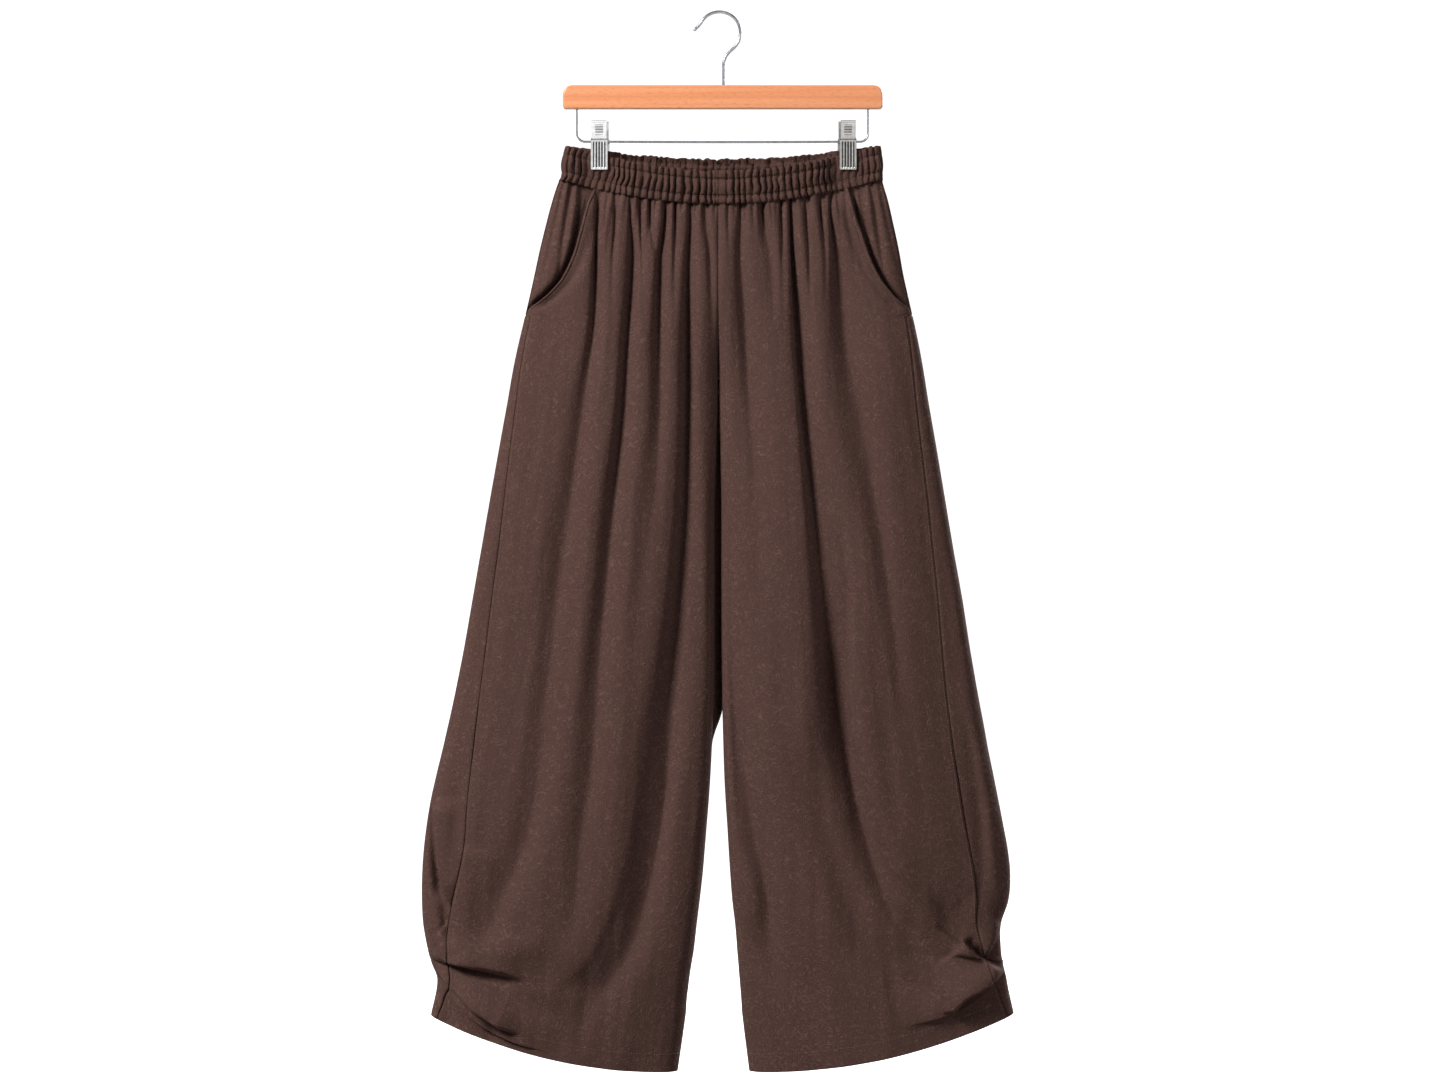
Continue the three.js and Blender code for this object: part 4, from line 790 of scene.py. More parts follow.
back_folds = {
    -1: [
        {"at": [26, 26, 30, 36, 40, 50, 62, 72, 80, 92, 104, 118, 132],
         "deep": [4, 8, 12, 13, 14, 15, 15, 15, 13, 11, 8, 5, 2],
         "left": [3, 4, 6, 7, 7, 8, 9, 14, 18, 20], "right": [3, 4, 7, 12, 15, 17, 17, 14, 12]},
        {"at": [68, 68, 70, 76, 84, 98, 114, 130, 140, 152, 166, 184, 200],
         "deep": [4, 8, 13, 14, 14, 13, 13, 12, 10, 8, 6, 4, 1],
         "left": [3, 4, 6, 8, 9, 12, 16, 18], "right": [3, 4, 6, 9, 14, 12, 14, 18]},
        {"at": [116, 116, 118, 126, 138, 152, 166, 184, 196, 212, 228, 244, 256],
         "deep": [4, 8, 13, 13, 12, 11, 10, 10, 9, 8, 5, 3, 0],
         "left": [3, 4, 5, 7, 10, 14, 18], "right": [3, 4, 7, 12, 12, 16, 20]}],
    1: [
        {"at": [30, 30, 32, 36, 42, 50, 58, 66, 72, 80, 90, 104, 120],
         "deep": [4, 8, 12, 13, 14, 14, 14, 13, 12, 10, 8, 5, 2],
         "left": [3, 4, 5, 7, 8, 9, 12, 16, 18], "right": [3, 4, 7, 10, 14, 16, 16, 14, 13]},
        {"at": [74, 74, 76, 82, 90, 100, 114, 130, 142, 158, 172, 190, 206],
         "deep": [4, 8, 13, 14, 15, 15, 14, 13, 11, 9, 6, 4, 1],
         "left": [3, 4, 6, 7, 8, 10, 14, 20], "right": [3, 4, 8, 12, 16, 16, 14, 12]},
        {"at": [118, 118, 122, 128, 140, 158, 176, 194, 206, 218, 230, 244, 256],
         "deep": [4, 8, 12, 13, 12, 11, 10, 9, 8, 6, 4, 2, 0],
         "left": [3, 4, 5, 8, 12, 16, 20], "right": [3, 4, 6, 10, 14, 14, 18]}]}


def line_drop(side, name, share):
    """Drop of a line across the leg: from its inner to its outer value with a power of the share."""
    inner, outer, power = lines_across[side][name]
    return mix(inner, outer, np.clip(share, 0, 1) ** power)


def key_rows(side, face, share, x):
    """Drop, outward and upward shift of every key row at each share of the leg's width."""
    held = mix(1, 0.3, smooth(0.88, 1, share))
    drops, outs, ups = [], [], []
    for row in panel_rows:
        if row.get("below_seam"):
            drop = waist_seam_drop(x, face) + seam_gap + 0.1 + mix(row["inner"], row["outer"], share)
        elif "start" not in row:
            drop = mix(row["inner"], row["outer"], share ** 2)
        else:
            drop = line_drop(side, row["start"], share) + row.get("shift", 0)
            if "stop" in row:
                drop = mix(drop, line_drop(side, row["stop"], share), row["share"])
        start, full = tuck_reach[side][row.get("reach", "lower")]
        in_tuck = smooth(start, full, share) * held
        drops.append(drop)
        outs.append(row.get("out", 0) * in_tuck)
        ups.append(row.get("up", 0) * in_tuck)
    return np.array(drops), np.array(outs), np.array(ups)


def between_rows(keys, key, part):
    """Values between key rows: a cubic whose slopes come from the rows on both sides, over lengths that are
    the square roots of the steps in drop and depth."""
    drops, outs, ups = keys
    run = np.hypot(np.diff(drops - ups, axis=0), np.diff(outs, axis=0)) ** 0.5 + 1e-3
    place = np.concatenate([np.zeros_like(run[:1]), np.cumsum(run, axis=0)])
    last = len(drops) - 1
    rows = np.arange(last + 1)
    before, after = np.maximum(rows - 1, 0), np.minimum(rows + 1, last)
    t = part.reshape(part.shape + (1,) * (drops.ndim - 2))
    above, under = (key, np.arange(len(key))), (key + 1, np.arange(len(key)))
    span = place[under] - place[above]
    results = []
    for values in (drops, outs, ups):
        slope = (values[after] - values[before]) / (place[after] - place[before])
        results.append(cubic(t, values[above], values[under], span * slope[above], span * slope[under]))
    return results


def fine_rows():
    """Key row before each fine row, and the part of the way to the next."""
    keys, parts = [], []
    for k, row in enumerate(panel_rows[:-1]):
        keys += [k] * row["steps"]
        parts += list(np.arange(row["steps"]) / row["steps"])
    return np.array(keys + [len(panel_rows) - 2]), np.array(parts + [1.0])


def lengths_round(width):
    """Lengths of the five parts of half a section: inner fold, front, outline fold, back and inner fold."""
    return [inner_length, width, fillet_length, width, inner_length]


def round_length(place, width):
    """Distance round half the section to a place: the lengths of its parts times their shares passed."""
    return sum(np.clip(place - k, 0, 1) * part for k, part in enumerate(lengths_round(width)))


def place_round(length, width):
    """The place at a distance round half the section, the reverse of round_length."""
    place, start = 0.0, 0.0
    for part in lengths_round(width):
        place = place + np.clip((length - start) / part, 0, 1)
        start = start + part
    return place


def place_across(share, width):
    """The place, on the front or on the outline's fold, at a share of the leg's width."""
    r_in, r_out = edge_radius_in / width, edge_radius_out / width
    on_front = 1 + (share - r_in) / (1 - r_out - r_in)
    on_fold = 2 + np.arcsin(np.clip(1 - (1 - share) / r_out, 0, 1)) / np.pi
    return np.where(share > 1 - r_out, on_fold, on_front)


def seam_place(side, drop):
    """Place of the side seam: on the front below the pocket, near the outline above it."""
    width = leg_width(side, drop)
    share = table_at(side_seam, side_name(side), np.clip(drop, seam_start, 1093))
    return np.where(drop < seam_start, place_above_foot, place_across(share, width))


def pocket_place(side, drop):
    """Place of the pocket's curved edge, which below its foot is the foot's own."""
    drop = np.minimum(drop, pocket_foot)
    width, inner = leg_width(side, drop), inner_distance(side, drop)
    share = np.clip((table_at(pocket_edge, side_name(side), drop) - inner) / width, 0, 0.9999)
    return np.minimum(place_across(share, width), place_above_foot)


def row_ends(side, face, key, part, ends_at):
    """Place at which each fine row ends, and its drop there: solved by four rounds of drop from place and
    place from drop."""
    place = np.full(key.shape, 2.0)
    for _ in range(4):
        drop = np.full(key.shape, 600.0)
        for _ in range(2):
            section = half_section(side, place, drop)
            drop = between_rows(key_rows(side, face, section["share"], section["x"]), key, part)[0]
        place = ends_at(drop)
    return place, drop


def front_ends(side):
    """The front panel ends at the pocket's edge above the pocket's foot, and at the side seam below it."""
    def ends(drop):
        below_pocket = mix(2.28, seam_place(side, drop), smooth(pocket_foot, seam_start, drop))
        return np.where(drop < pocket_foot, pocket_place(side, drop), below_pocket)
    return ends


def back_starts(side):
    """The back panel starts at the side seam."""
    return lambda drop: seam_place(side, drop)


def fold_relief(side, face, distance, drop):
    """Dip of the long folds and the sideways shift of the cloth over them. The dip falls off with the
    distance from the valley as exp(-|u / reach| ** 1.7); where the left side is steep, a narrow bell
    beside the valley pushes the edge of the ridge there out over it."""
    dip, shift = np.zeros_like(drop), np.zeros_like(drop)
    for fold in (front_folds if face < 0 else back_folds)[side]:
        at, deep, left, right = (
            table_at({"drop": fold_drops[:len(values)], "value": values}, "value", drop)
            if len(values) > 1 else values[0]
            for values in (fold[name] for name in ("at", "deep", "left", "right")))
        deep = np.maximum(deep, 0)
        u = side * (distance - at)
        dip += deep * np.exp(-np.abs(u / np.where(u < 0, left, right)) ** 1.7)
        steep = np.clip((9 - left) / 5, 0, 1)
        shift += side * steep * deep * 0.2 * np.exp(-((u + 1.3 * left) / (0.8 * left)) ** 2)
    return dip, shift


def gathers(distance, below, seed):
    """Fine gathers under the band. Each is a narrow valley, exp(-|u / 2.2| ** 1.7), that fades downwards as
    exp(-(below / length) ** 2), with its own depth and length, and they open a little as they go down."""
    chance = np.random.default_rng(seed)
    relief = np.zeros_like(distance)
    top = below[:, below.shape[1] // 2] < 190
    distance, below = distance[top], below[top]
    at = 7.0
    while at < 185:
        length, deep, turn = chance.uniform(9, 46), chance.uniform(1.6, 3.8), chance.uniform(-0.04, 0.06)
        u = distance - at * (1 + 0.0007 * below) - turn * below
        relief[top] += deep * np.exp(-np.abs(u / 2.2) ** 1.7) * np.exp(-(below / length) ** 2)
        at += chance.uniform(5.4, 9.0)
    return relief


def near_line(x, drop, line):
    """Signed distance from each point to a bent line and the share of the line's length at the nearest
    point. Going down the line, the distance is positive on the viewer's right."""
    line = np.asarray(line, float)
    steps = np.hypot(*np.diff(line, axis=0).T)
    marks = np.concatenate([[0], np.cumsum(steps)]) / steps.sum()
    nearest, signed, share = np.full(x.shape, 1e9), np.zeros(x.shape), np.zeros(x.shape)
    for k, ((x0, d0), (x1, d1)) in enumerate(zip(line[:-1], line[1:])):
        t = ((x - x0) * (x1 - x0) + (drop - d0) * (d1 - d0)) / steps[k] ** 2
        t = np.clip(t, 0, 1)
        away_x, away_d = x - mix(x0, x1, t), drop - mix(d0, d1, t)
        far = np.hypot(away_x, away_d)
        across = (away_x * (d1 - d0) - away_d * (x1 - x0)) / steps[k]
        take = far < nearest
        nearest = np.where(take, far, nearest)
        signed = np.where(take, np.where(across < 0, -far, far), signed)
        share = np.where(take, mix(marks[k], marks[k + 1], t), share)
    return signed, share


# Creases: a line of places in millimetres from the centre line and below the hook; how far
# the cloth on the line's right stands over the other side (less than 0: the left stands over); how far
# from the line that fades; the sharpness of the edge; and the depth and half width of the groove beside
# it. Those under "both" run on over the side seam.
edges = {
    -1: {"front": [
        ([(-280, 905), (-285, 933), (-292, 968), (-297, 990), (-300, 1010)], 3.6, 34, 2.0, 0, 4),
        ([(-76, 771), (-88, 837), (-96, 902), (-112, 968), (-136, 1023), (-152, 1044), (-176, 1061),
          (-209, 1079)], -2.6, 50, 7.0, 0, 10)],
        "back": [
        ([(-317, 858), (-313, 880), (-311, 902), (-308.5, 929), (-304.5, 955), (-296.5, 969), (-288, 973)],
         6.5, 26, 1.3, 15, 7),
        ([(-297, 989), (-309, 1003), (-322, 1016)], 1.2, 10, 1.2, 1, 2)],
        "both": [
        ([(-318, 1026), (-300, 1035), (-283, 1039), (-259, 1041), (-235, 1046), (-215, 1056)],
         5.0, 22, 3.5, 4, 8),
        ([(-312, 1040), (-305, 1049), (-294, 1062), (-271, 1085), (-243, 1103), (-215, 1112)],
         9.0, 30, 2.0, 12, 12)]},
    1: {"front": [
        ([(128, 520), (140, 620), (139, 722), (146, 798), (166, 865), (191, 934), (232, 992), (276, 1024)],
         8.0, 60, 4.0, 18, 32)],
        "back": [],
        "both": [
        ([(309, 996), (305, 1000), (295, 1016), (285, 1032)], -8.5, 18, 1.5, 9, 6),
        ([(262, 1010), (270, 1019), (287, 1034), (312, 1046)], -8.0, 26, 1.6, 10, 7),
        ([(313, 1041), (292, 1058), (264, 1074), (252, 1086), (238, 1087)], -7.0, 26, 1.6, 11, 8)]},
}
far_off = 1e4
# Soft creases: a line, its depth (less than 0 for a ridge) and its half width.
dents = {
    -1: {"front": [
        ([(-262, 880), (-250, 905), (-236, 940), (-222, 965)], 2.4, 10),
        ([(-300, 962), (-298, 985), (-293, 1012)], 9.0, 6),
        ([(-292, 1012), (-262, 1016), (-225, 1018), (-190, 1012)], -4.0, 15),
        ([(-250, 1062), (-215, 1076), (-170, 1094)], 3.4, 13),
        ([(-205, 1036), (-175, 1052), (-150, 1060), (-118, 1062)], 3.0, 17)],
        "back": [
        ([(-300, 760), (-309, 810), (-317, 860), (-321, 905)], 2.0, 7),
        ([(-280, 800), (-287, 850), (-291, 905), (-293, 940)], 2.4, 9),
        ([(-303, 968), (-300, 985), (-295, 1012)], 9.0, 6)],
        "both": []},
    1: {"front": [
        ([(180, 880), (200, 940), (226, 990), (250, 1018)], -3.6, 15),
        ([(92, 800), (108, 880), (132, 950), (158, 1010), (190, 1052), (236, 1076)], 11.0, 18),
        ([(150, 880), (166, 950), (196, 1010), (236, 1046)], -3.0, 16),
        ([(232, 960), (246, 990), (262, 1008)], 3.0, 7)],
        "back": [
        ([(260, 727), (278, 805), (289, 876), (301, 965)], -3.2, 6),
        ([(266, 760), (280, 850), (284, 930), (282, 980)], 3.4, 8),
        ([(300, 880), (306, 930), (305, 975)], 2.4, 7)],
        "both": [([(274, 1016), (282, 1026), (290, 1030)], 6.0, 6)]},
}


def edge_relief(key, x, drop):
    """Sum of the creases. Over an edge the relief rises with a smooth step as wide as its sharpness and
    then fades as exp(-(n / fade) ** 2); a dent is a bell across its line. Both taper to nothing at the
    ends of the line, and a wide edge over nearly half of it."""
    relief = np.zeros_like(x)
    side, where = key
    for line, height, fade, sharp, groove, half in edges[side][where] + edges[side]["both"]:
        signed, share = near_line(x, drop, line)
        signed = signed * (1 if height > 0 else -1)
        taper = smooth(-0.01, 0.1 if fade < 40 else 0.45, share) * (1 - smooth(0.72, 1.01, share))
        step = smooth(-sharp, sharp, signed)
        rise = step * np.exp(-(np.maximum(signed, 0) / fade) ** 2)
        trough = groove * np.exp(-(np.maximum(-signed - sharp, 0) / half) ** 1.6) * (1 - step)
        relief += taper * (abs(height) * rise - trough)
    for line, deep, half in dents[side][where] + dents[side]["both"]:
        signed, share = near_line(x, drop, line)
        taper = np.sin(np.pi * np.clip(share * 0.96 + 0.02, 0, 1)) ** 0.7
        relief -= deep * taper * np.exp(-(signed / half) ** 2)
    return relief


def panel_places(side, face, columns):
    """Where the points of a panel lie: place, drop, outward and upward shift, distance from the panel's
    first edge and from its last, and the drop of each row's seam. Lengths run evenly round the section
    between the row's two ends, but finer at its edges, and two rounds give the drop from the key rows."""
    key, part = fine_rows()
    if face < 0:
        start = np.zeros(key.shape)
        stop, seam_drop = row_ends(side, face, key, part, front_ends(side))
    else:
        start, seam_drop = row_ends(side, face, key, part, back_starts(side))
        stop = np.full(key.shape, 5.0)
    width = leg_width(side, seam_drop)
    begin = round_length(start, width) + (seam_gap / 2 if face > 0 else 0)
    end = round_length(stop, width) - (seam_gap / 2 if face < 0 else 0)
    share = np.interp(np.linspace(0, 1, columns), [0, 0.05, 0.9, 1],
                      [0, 0.03, 0.945, 1] if face < 0 else [0, 0.03, 0.88, 1])
    length = mix(begin[:, None], end[:, None], share[None, :])
    place = place_round(length, width[:, None])
    faces = np.where(place <= 2.5, -1.0, 1.0)
    drop = np.broadcast_to(seam_drop[:, None], place.shape)
    for _ in range(2):
        section = half_section(side, place, drop)
        drop, out, up = between_rows(key_rows(side, faces, section["share"], section["x"]), key, part)
    return place, drop, out, up, length - begin[:, None], end[:, None] - length, seam_drop


def cloth_relief(side, face, section, drop, out):
    """How far a panel stands out from the body, and how far its folds shift it sideways: what the tucks
    push out, less folds and gathers, with soft swells and creases, and 3.2 mm in inside the band."""
    on_face = np.where(section["face"] == face, 1.0, 0.0)
    share, distance = section["share"], section["x"] * side
    inside = smooth(0, 0.05, share) * (1 - smooth(0.94, 1, share))
    dip, shift = fold_relief(side, face, distance, drop)
    dip, shift = dip * inside * on_face, shift * smooth(0.02, 0.08, share) * inside * on_face
    below = drop - waist_seam_drop(section["x"], section["face"]) - seam_gap
    scale = np.clip(section["depth"] / 14, 0, 1)
    gather = gathers(distance, below, 7 + side + 3 * face) * scale * on_face
    swell = sum(tall * soft_noise(share * 250, drop, wide, long, seed + side * 2 + face)
                for tall, wide, long, seed in soft_swells)
    swell *= smooth(0, 40, below) * 0.8 + 0.2
    crease_x = np.where(section["face"] == -1, section["x"], far_off)
    creases = edge_relief((side, "front" if face < 0 else "back"), crease_x, drop)
    under_band = 3.2 * (1 - smooth(-2.2, 0.2, below))
    return out - dip - gather * gather_height + swell * scale + creases - under_band, shift


def seam_roll(face, along, remains, joined, seam_drop):
    """How far the cloth dips at a panel's edges, as exp(-(way from the edge / 1.5) squared): wider at the
    centre seam, and at the pocket a turned edge, which dips behind a ridge and has a swell beside it."""
    at_end = 0.9 * np.exp(-(remains / 1.5) ** 2)
    if face > 0:
        return 0.9 * np.exp(-(along / 1.5) ** 2) + at_end
    centre = (1.5 * np.exp(-(along / 1.7) ** 2) + 1.2 * np.exp(-(along / 6.0) ** 2)) * joined
    pocket = 1 - smooth(pocket_foot - 3, pocket_foot + 3, seam_drop)[:, None]
    turned_edge = (1.1 * np.exp(-((remains - 1.8) / 2.0) ** 2) - 0.8 * np.exp(-((remains - 4.0) / 0.9) ** 2)
                   - 2.4 * np.exp(-((remains - 13) / 6.5) ** 2))
    return centre + at_end * (1 - pocket) - pocket * turned_edge


def leg_panel(side, face, columns):
    """A panel's outer surface as a grid of fine rows and columns. Its depth is the body's plus the relief,
    and never less than 4.8 mm, or 1.5 mm at the tucks, where the body has it; the seams dip into it."""
    place, drop, out, up, along, remains, seam_drop = panel_places(side, face, columns)
    section = half_section(side, place, drop)
    relief, shift = cloth_relief(side, face, section, drop, out)
    rim, faces = section["rim"], section["face"]
    least = mix(least_depth, least_at_tucks, smooth(845, 885, drop))
    depth = np.maximum(section["depth"] + relief * rim, np.minimum(section["depth"], least))
    joined = 1 - smooth(hips_end, legs_start, drop)
    roll = seam_roll(face, along, remains, joined, seam_drop)
    depth = depth - roll * np.clip(rim * 2, 0, 1) * np.clip(depth / 6, 0, 1)
    closed = 1 - smooth(412, 440, drop)
    from_centre = along if face < 0 else remains
    x = section["x"] + side * (shift - 0.35 * closed * np.exp(-(from_centre / 1.5) ** 2))
    if face > 0 and side < 0:
        # Below the crotch the inside edges of the legs touch behind, as far down as no light shows between
        reach = smooth(*legs_touch_from, drop) * (1 - smooth(*legs_touch_to, drop))
        bulge = np.sin(np.pi * np.clip(5 - place, 0, 1)) * (inner_distance(side, drop) + 4.4 + 1.2)
        x = x - side * bulge * reach
    return np.stack([x, faces * (depth + seam_gap / 2), up - drop], -1), remains, along


# The four leg panels, each kept with its grid, normals and distances from its edges for the stitches
panels = {}
for side in (-1, 1):
    for face, where, columns in ((-1, "front", 211), (1, "back", 161)):
        name = f"leg_{where}_{side_name(side)}"
        grid, remains, along = leg_panel(side, face, columns)
        nodes = "leg_back_left leg_back_left_lower" if name == "leg_back_left" else name
        normals = cloth_piece(f"{name}_cloth", grid, face, side, leg_wall, cloth, "cloth", nodes)
        panels[side, face] = (grid, normals, remains, along)


# The hip pieces behind the slash pockets. The same cloth: the side of the pants goes on behind each
# pocket's edge, and the pockets lie closed.

# Folds of the hip: distance from the centre line at the band, how far the fold moves out for each
# millimetre down, its depth, its half width and how far down it runs. The piece takes the first fine rows.
hip_rows = 61
hip_folds = ((152, 0.09, 5.0, 4.0, 110), (163, 0.14, 5.5, 3.4, 95), (171, 0.22, 3.0, 3.0, 90))


def hip_piece(side):
    """The front's body from 34 mm behind the pocket's edge to the side seam, moved in by 2 mm, and further
    by 10 mm behind the panel, by 10 exp(-(way out / 7.5) ** 2) mm beside the edge, and by 3.2 mm inside
    the band. It has three soft folds of its own from the band down."""
    key, part = (rows[:hip_rows] for rows in fine_rows())
    stop, seam_drop = row_ends(side, -1, key, part,
                               lambda drop: seam_place(side, np.minimum(drop, seam_start - 1)))
    edge, _ = row_ends(side, -1, key, part, lambda drop: pocket_place(side, drop))
    width = leg_width(side, seam_drop)
    begin = np.maximum(round_length(edge, width) - 34, 30)
    end = round_length(stop, width) - 0.5 * seam_gap
    length = mix(begin[:, None], end[:, None], np.linspace(0, 1, 81)[None, :])
    place = place_round(length, width[:, None])
    guess = half_section(side, place, np.broadcast_to(seam_drop[:, None], place.shape))
    drop = between_rows(key_rows(side, -1.0, guess["share"], guess["x"]), key, part)[0]
    section = half_section(side, place, drop)
    distance = section["x"] * side
    below = drop - waist_seam_drop(section["x"], -1) - seam_gap
    way_out = round_length(place, width[:, None]) - round_length(edge, width)[:, None]
    open_part = smooth(0, 10, way_out)
    sunk = 10.0 * np.exp(-(np.maximum(way_out, 0) / 7.5) ** 2)
    folds = sum(deep * np.exp(-((distance - at - turn * below) / half) ** 2) * np.exp(-(below / run) ** 2)
                for at, turn, deep, half, run in hip_folds)
    dip, _ = fold_relief(side, -1, distance, drop)
    gather = gathers(distance, below, 7 + side - 3) * np.clip(section["depth"] / 14, 0, 1)
    relief = -mix(dip + gather * gather_height, folds, open_part)
    relief = relief - np.where(way_out > 0, sunk, 10.0) - 3.2 * (1 - smooth(-2.2, 0.2, below))
    depth = np.maximum(section["depth"] + relief * section["rim"], np.minimum(section["depth"], 2.9)) - 2.0
    depth = np.maximum(depth, 0.9)
    return np.stack([section["x"], -(depth + seam_gap / 2), -drop], -1)


for side in (-1, 1):
    name = f"pocket_backing_{side_name(side)}"
    cloth_piece(f"{name}_cloth", hip_piece(side), -1, side, hip_wall, cloth, "cloth", name)


# The stitches. Brown polyester thread, sewn by machine in stitches 2.4 mm long with 0.8 mm between them,
# along the pocket edges, the side seams, the inner seams of the legs, the hems and the band.
def thread_finish():
    """Spun polyester thread, a shade lighter than the cloth, with a fine twist."""
    material, tree = new_finish("polyester_thread")
    place = add_node(tree, "TexCoord", {})
    twist = add_node(tree, "TexNoise", {"Scale": 1500.0, "Detail": 2.0},
                     [(place.outputs["Object"], "Vector")])
    shade = colour_steps(tree, twist, [(0.35, "#4d3832"), (0.65, "#6b5249")])
    bump = add_node(tree, "Bump", {"Strength": 0.3, "Distance": 0.0003}, [(twist, "Height")])
    shader = add_node(tree, "BsdfPrincipled", {"Roughness": 0.6, "IOR": 1.5, "Specular IOR Level": 0.3},
                      [(shade, "Base Color"), (bump, "Normal")])
    add_node(tree, "OutputMaterial", {}, [(shader, "Surface")])
    return material


def sample(grid, rows, columns):
    """Values of a grid at places between its rows and columns, mixed straight from the four round them."""
    i = np.clip(np.floor(rows).astype(int), 0, grid.shape[0] - 2)
    j = np.clip(np.floor(columns).astype(int), 0, grid.shape[1] - 2)
    s, t = (rows - i)[:, None], (columns - j)[:, None]
    return mix(mix(grid[i, j], grid[i + 1, j], s), mix(grid[i, j + 1], grid[i + 1, j + 1], s), t)


def stitches(points, normals, length=2.4, gap=0.8, half=0.34):
    """Stitches along a line of points: three rings of four corners and two tips each, at even distances
    along the line, 0.1 to 0.16 mm above the cloth, with their ends drawn down into it."""
    steps = np.concatenate([[0], np.cumsum(np.linalg.norm(np.diff(points, axis=0), axis=1))])
    starts = np.arange(gap, steps[-1] - length, length + gap)
    along = starts[:, None] + np.array([0.0, 0.15, 0.5, 0.85, 1.0]) * length
    middle = np.stack([np.interp(along, steps, points[:, k]) for k in range(3)], -1)
    upward = unit(np.stack([np.interp(along, steps, normals[:, k]) for k in range(3)], -1))
    ahead = unit(middle[:, -1:] - middle[:, :1])
    aside = unit(np.cross(ahead, upward))
    middle = middle + upward * np.array([-0.15, 0.1, 0.16, 0.1, -0.15])[:, None]
    ring = np.stack([aside, upward, -aside, -upward], 2)
    wide = np.array([0.8, 1.0, 0.8])[None, :, None, None] * half
    corners = middle[:, 1:4, None] + ring[:, 1:4] * wide
    count = len(starts)
    shape = np.concatenate([corners.reshape(count, 12, 3), middle[:, :1], middle[:, 4:]], 1)
    base = (np.arange(count) * 14)[:, None, None]
    k = np.arange(4)
    after, first_tip = (k + 1) % 4, np.full(4, 12)
    sides = ring_quads(3, 4)
    ends = np.concatenate([np.stack([first_tip, after, k], -1),
                           np.stack([first_tip + 1, 8 + k, 8 + after], -1)])
    return shape.reshape(-1, 3), (sides + base).reshape(-1, 4), (ends + base).reshape(-1, 3)


def column_where(values, target):
    """In each row of values that run up or down, the place between columns at which they reach a target."""
    columns = np.arange(values.shape[1])
    return np.array([np.interp(target, row, columns) if row[-1] > row[0]
                     else np.interp(target, row[::-1], columns[::-1]) for row in values])


def sew(name, lines):
    """Joins the stitches of several lines into one piece."""
    points, quads, tips, count = [], [], [], 0
    for line_points, line_normals in lines:
        shape, sides, ends = stitches(line_points, line_normals)
        points.append(shape)
        quads.append(sides + count)
        tips.append(ends + count)
        count += len(shape)
    return make_piece(name, np.concatenate(points) + (garment_x, 0, 0), np.concatenate(quads),
                      np.concatenate(tips), thread, "cloth")


def down_panel(side, face, values, target, first, last):
    """A line down a panel where values reach a target, between two drops."""
    grid, normals = panels[side, face][:2]
    columns = column_where(values, target)
    rows = np.arange(len(grid), dtype=float)
    points, upward = sample(grid, rows, columns), sample(normals, rows, columns)
    keep = (-points[:, 2] > first) & (-points[:, 2] < last)
    return points[keep], upward[keep]


def above_hem(side, face, height):
    """A line across a panel at an even height above its hem, on the outside of its lowest rows."""
    grid, normals = panels[side, face][:2]
    rise = np.linalg.norm(np.diff(grid[::-1], axis=0), axis=-1).cumsum(0)
    rows = len(grid) - 2 - column_where(rise.T, height)
    columns = np.arange(grid.shape[1], dtype=float)
    keep = slice(4, -4)
    return sample(grid, rows, columns)[keep], sample(normals, rows, columns)[keep]


thread = thread_finish()
for side in (-1, 1):
    lines = []
    remains, along = panels[side, -1][2:]
    lines.append(down_panel(side, -1, remains, 4.0, waist_seam_drop(150.0, -1) + 4, pocket_foot - 5))
    lines.append(down_panel(side, -1, remains, 2.8, seam_start - 2, 1090))
    lines.append(down_panel(side, -1, along, 12.4, 640, 1150))
    lines += [above_hem(side, face, 20.0) for face in (-1, 1)]
    sew(f"leg_stitches_{side_name(side)}", lines)
band_lines = []
for face in (-1, 1):
    grid, normals = bands[face]
    for share in (0.26, 0.76):
        columns = np.arange(16.0, grid.shape[1] - 16.0)
        rows = np.full(columns.shape, share * (len(grid) - 1))
        band_lines.append((sample(grid, rows, columns), sample(normals, rows, columns)))
sew("band_stitches", band_lines)


# The studio: a pale floor that curves up into a round white wall, lit from behind as a light table is, so
# that it stays evenly white. Large soft lamps light the pants, and the wall sends them no light of its own.
def studio_shell():
    """Floor and wall as one surface of revolution: flat out to 4.2 m, then a quarter circle of 1.8 m, then
    straight up; its axis runs through the pants."""
    t = np.linspace(0, 1, 25)
    turn_in, turn_up = 1.8 * np.sin(t[1:] * np.pi / 2), 1.8 - 1.8 * np.cos(t[1:] * np.pi / 2)
    radius = np.concatenate([np.linspace(0.02, 4.2, 12), 4.2 + turn_in, np.full(6, 6.0)])
    height = np.concatenate([np.zeros(12), turn_up, np.linspace(2.2, 7.0, 6)])
    turn = np.linspace(0, 2 * np.pi, 97)[:-1]
    ring_x, ring_y = np.outer(radius, np.cos(turn)), np.outer(radius, np.sin(turn))
    points = np.stack([ring_x, ring_y, np.repeat(height[:, None] - 1.32, 96, 1)], -1).reshape(-1, 3)
    return points, ring_quads(len(radius), len(turn))


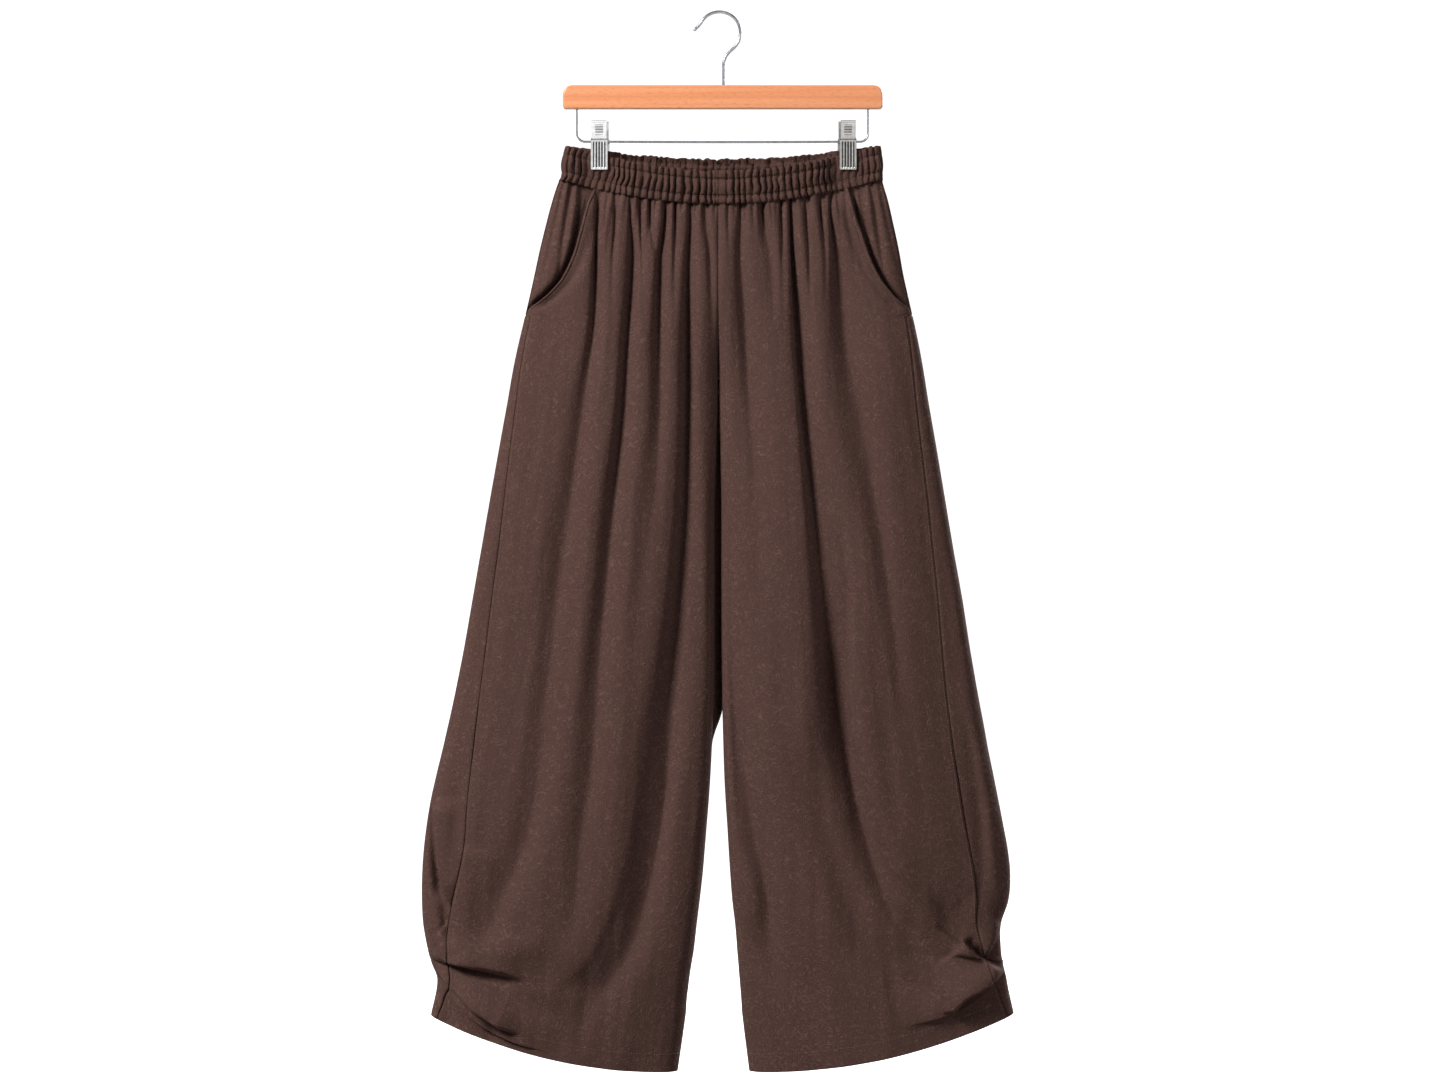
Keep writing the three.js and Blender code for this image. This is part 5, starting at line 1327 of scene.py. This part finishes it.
studio_points, studio_faces = studio_shell()
studio_mesh = bpy.data.meshes.new("studio_floor")
studio_mesh.from_pydata(studio_points.tolist(), [], studio_faces.tolist())
studio_mesh.polygons.foreach_set("use_smooth", np.ones(len(studio_mesh.polygons), dtype=bool))
floor_paint, floor_tree = new_finish("matt_white_paint")
floor_paint.cycles.emission_sampling = "NONE"
paint_place = add_node(floor_tree, "TexCoord", {})
paint_cloud = add_node(floor_tree, "TexNoise", {"Scale": 3.0}, [(paint_place.outputs["Object"], "Vector")])
paint_shade = colour_steps(floor_tree, paint_cloud, [(0.3, "#f6f6f6"), (0.7, "#f9f9f9")])
paint = add_node(floor_tree, "BsdfPrincipled", {"Roughness": 0.9, "Emission Strength": 0.75},
                 [(paint_shade, "Base Color"), (paint_shade, "Emission Color")])
add_node(floor_tree, "OutputMaterial", {}, [(paint, "Surface")])
studio_mesh.materials.append(floor_paint)
studio = bpy.data.objects.new("studio_floor", studio_mesh)
bpy.context.scene.collection.objects.link(studio)
studio.visible_diffuse = False


def soft_lamp(name, place, target, size, power):
    """A square lamp that faces a target."""
    light = bpy.data.lights.new(name, "AREA")
    light.shape = "SQUARE"
    light.size = size
    light.energy = power
    lamp = bpy.data.objects.new(name, light)
    lamp.location = place
    away = np.array(place) - np.array(target)
    tilt = math.atan2(math.hypot(away[0], away[1]), away[2])
    lamp.rotation_euler = (tilt, 0, math.atan2(away[0], -away[1]))
    bpy.context.scene.collection.objects.link(lamp)
    return lamp


soft_lamp("key_lamp", (-3.0, -2.6, 1.9), (0, 0, -0.6), 1.3, 325)
soft_lamp("fill_lamp", (3.0, -3.4, 0.2), (0, 0, -0.6), 2.4, 44)
soft_lamp("top_lamp", (0.3, -0.5, 2.4), (0, 0, -0.5), 2.0, 24)
soft_lamp("back_lamp", (2.4, 3.2, 0.7), (0, 0, -0.6), 1.6, 180)
world = bpy.data.worlds.new("studio_air")
bpy.context.scene.world = world
world.use_nodes = True
world.node_tree.nodes["Background"].inputs["Color"].default_value = linear("#ffffff")
world.node_tree.nodes["Background"].inputs["Strength"].default_value = 0.09
bpy.context.scene.view_settings.view_transform = "Standard"
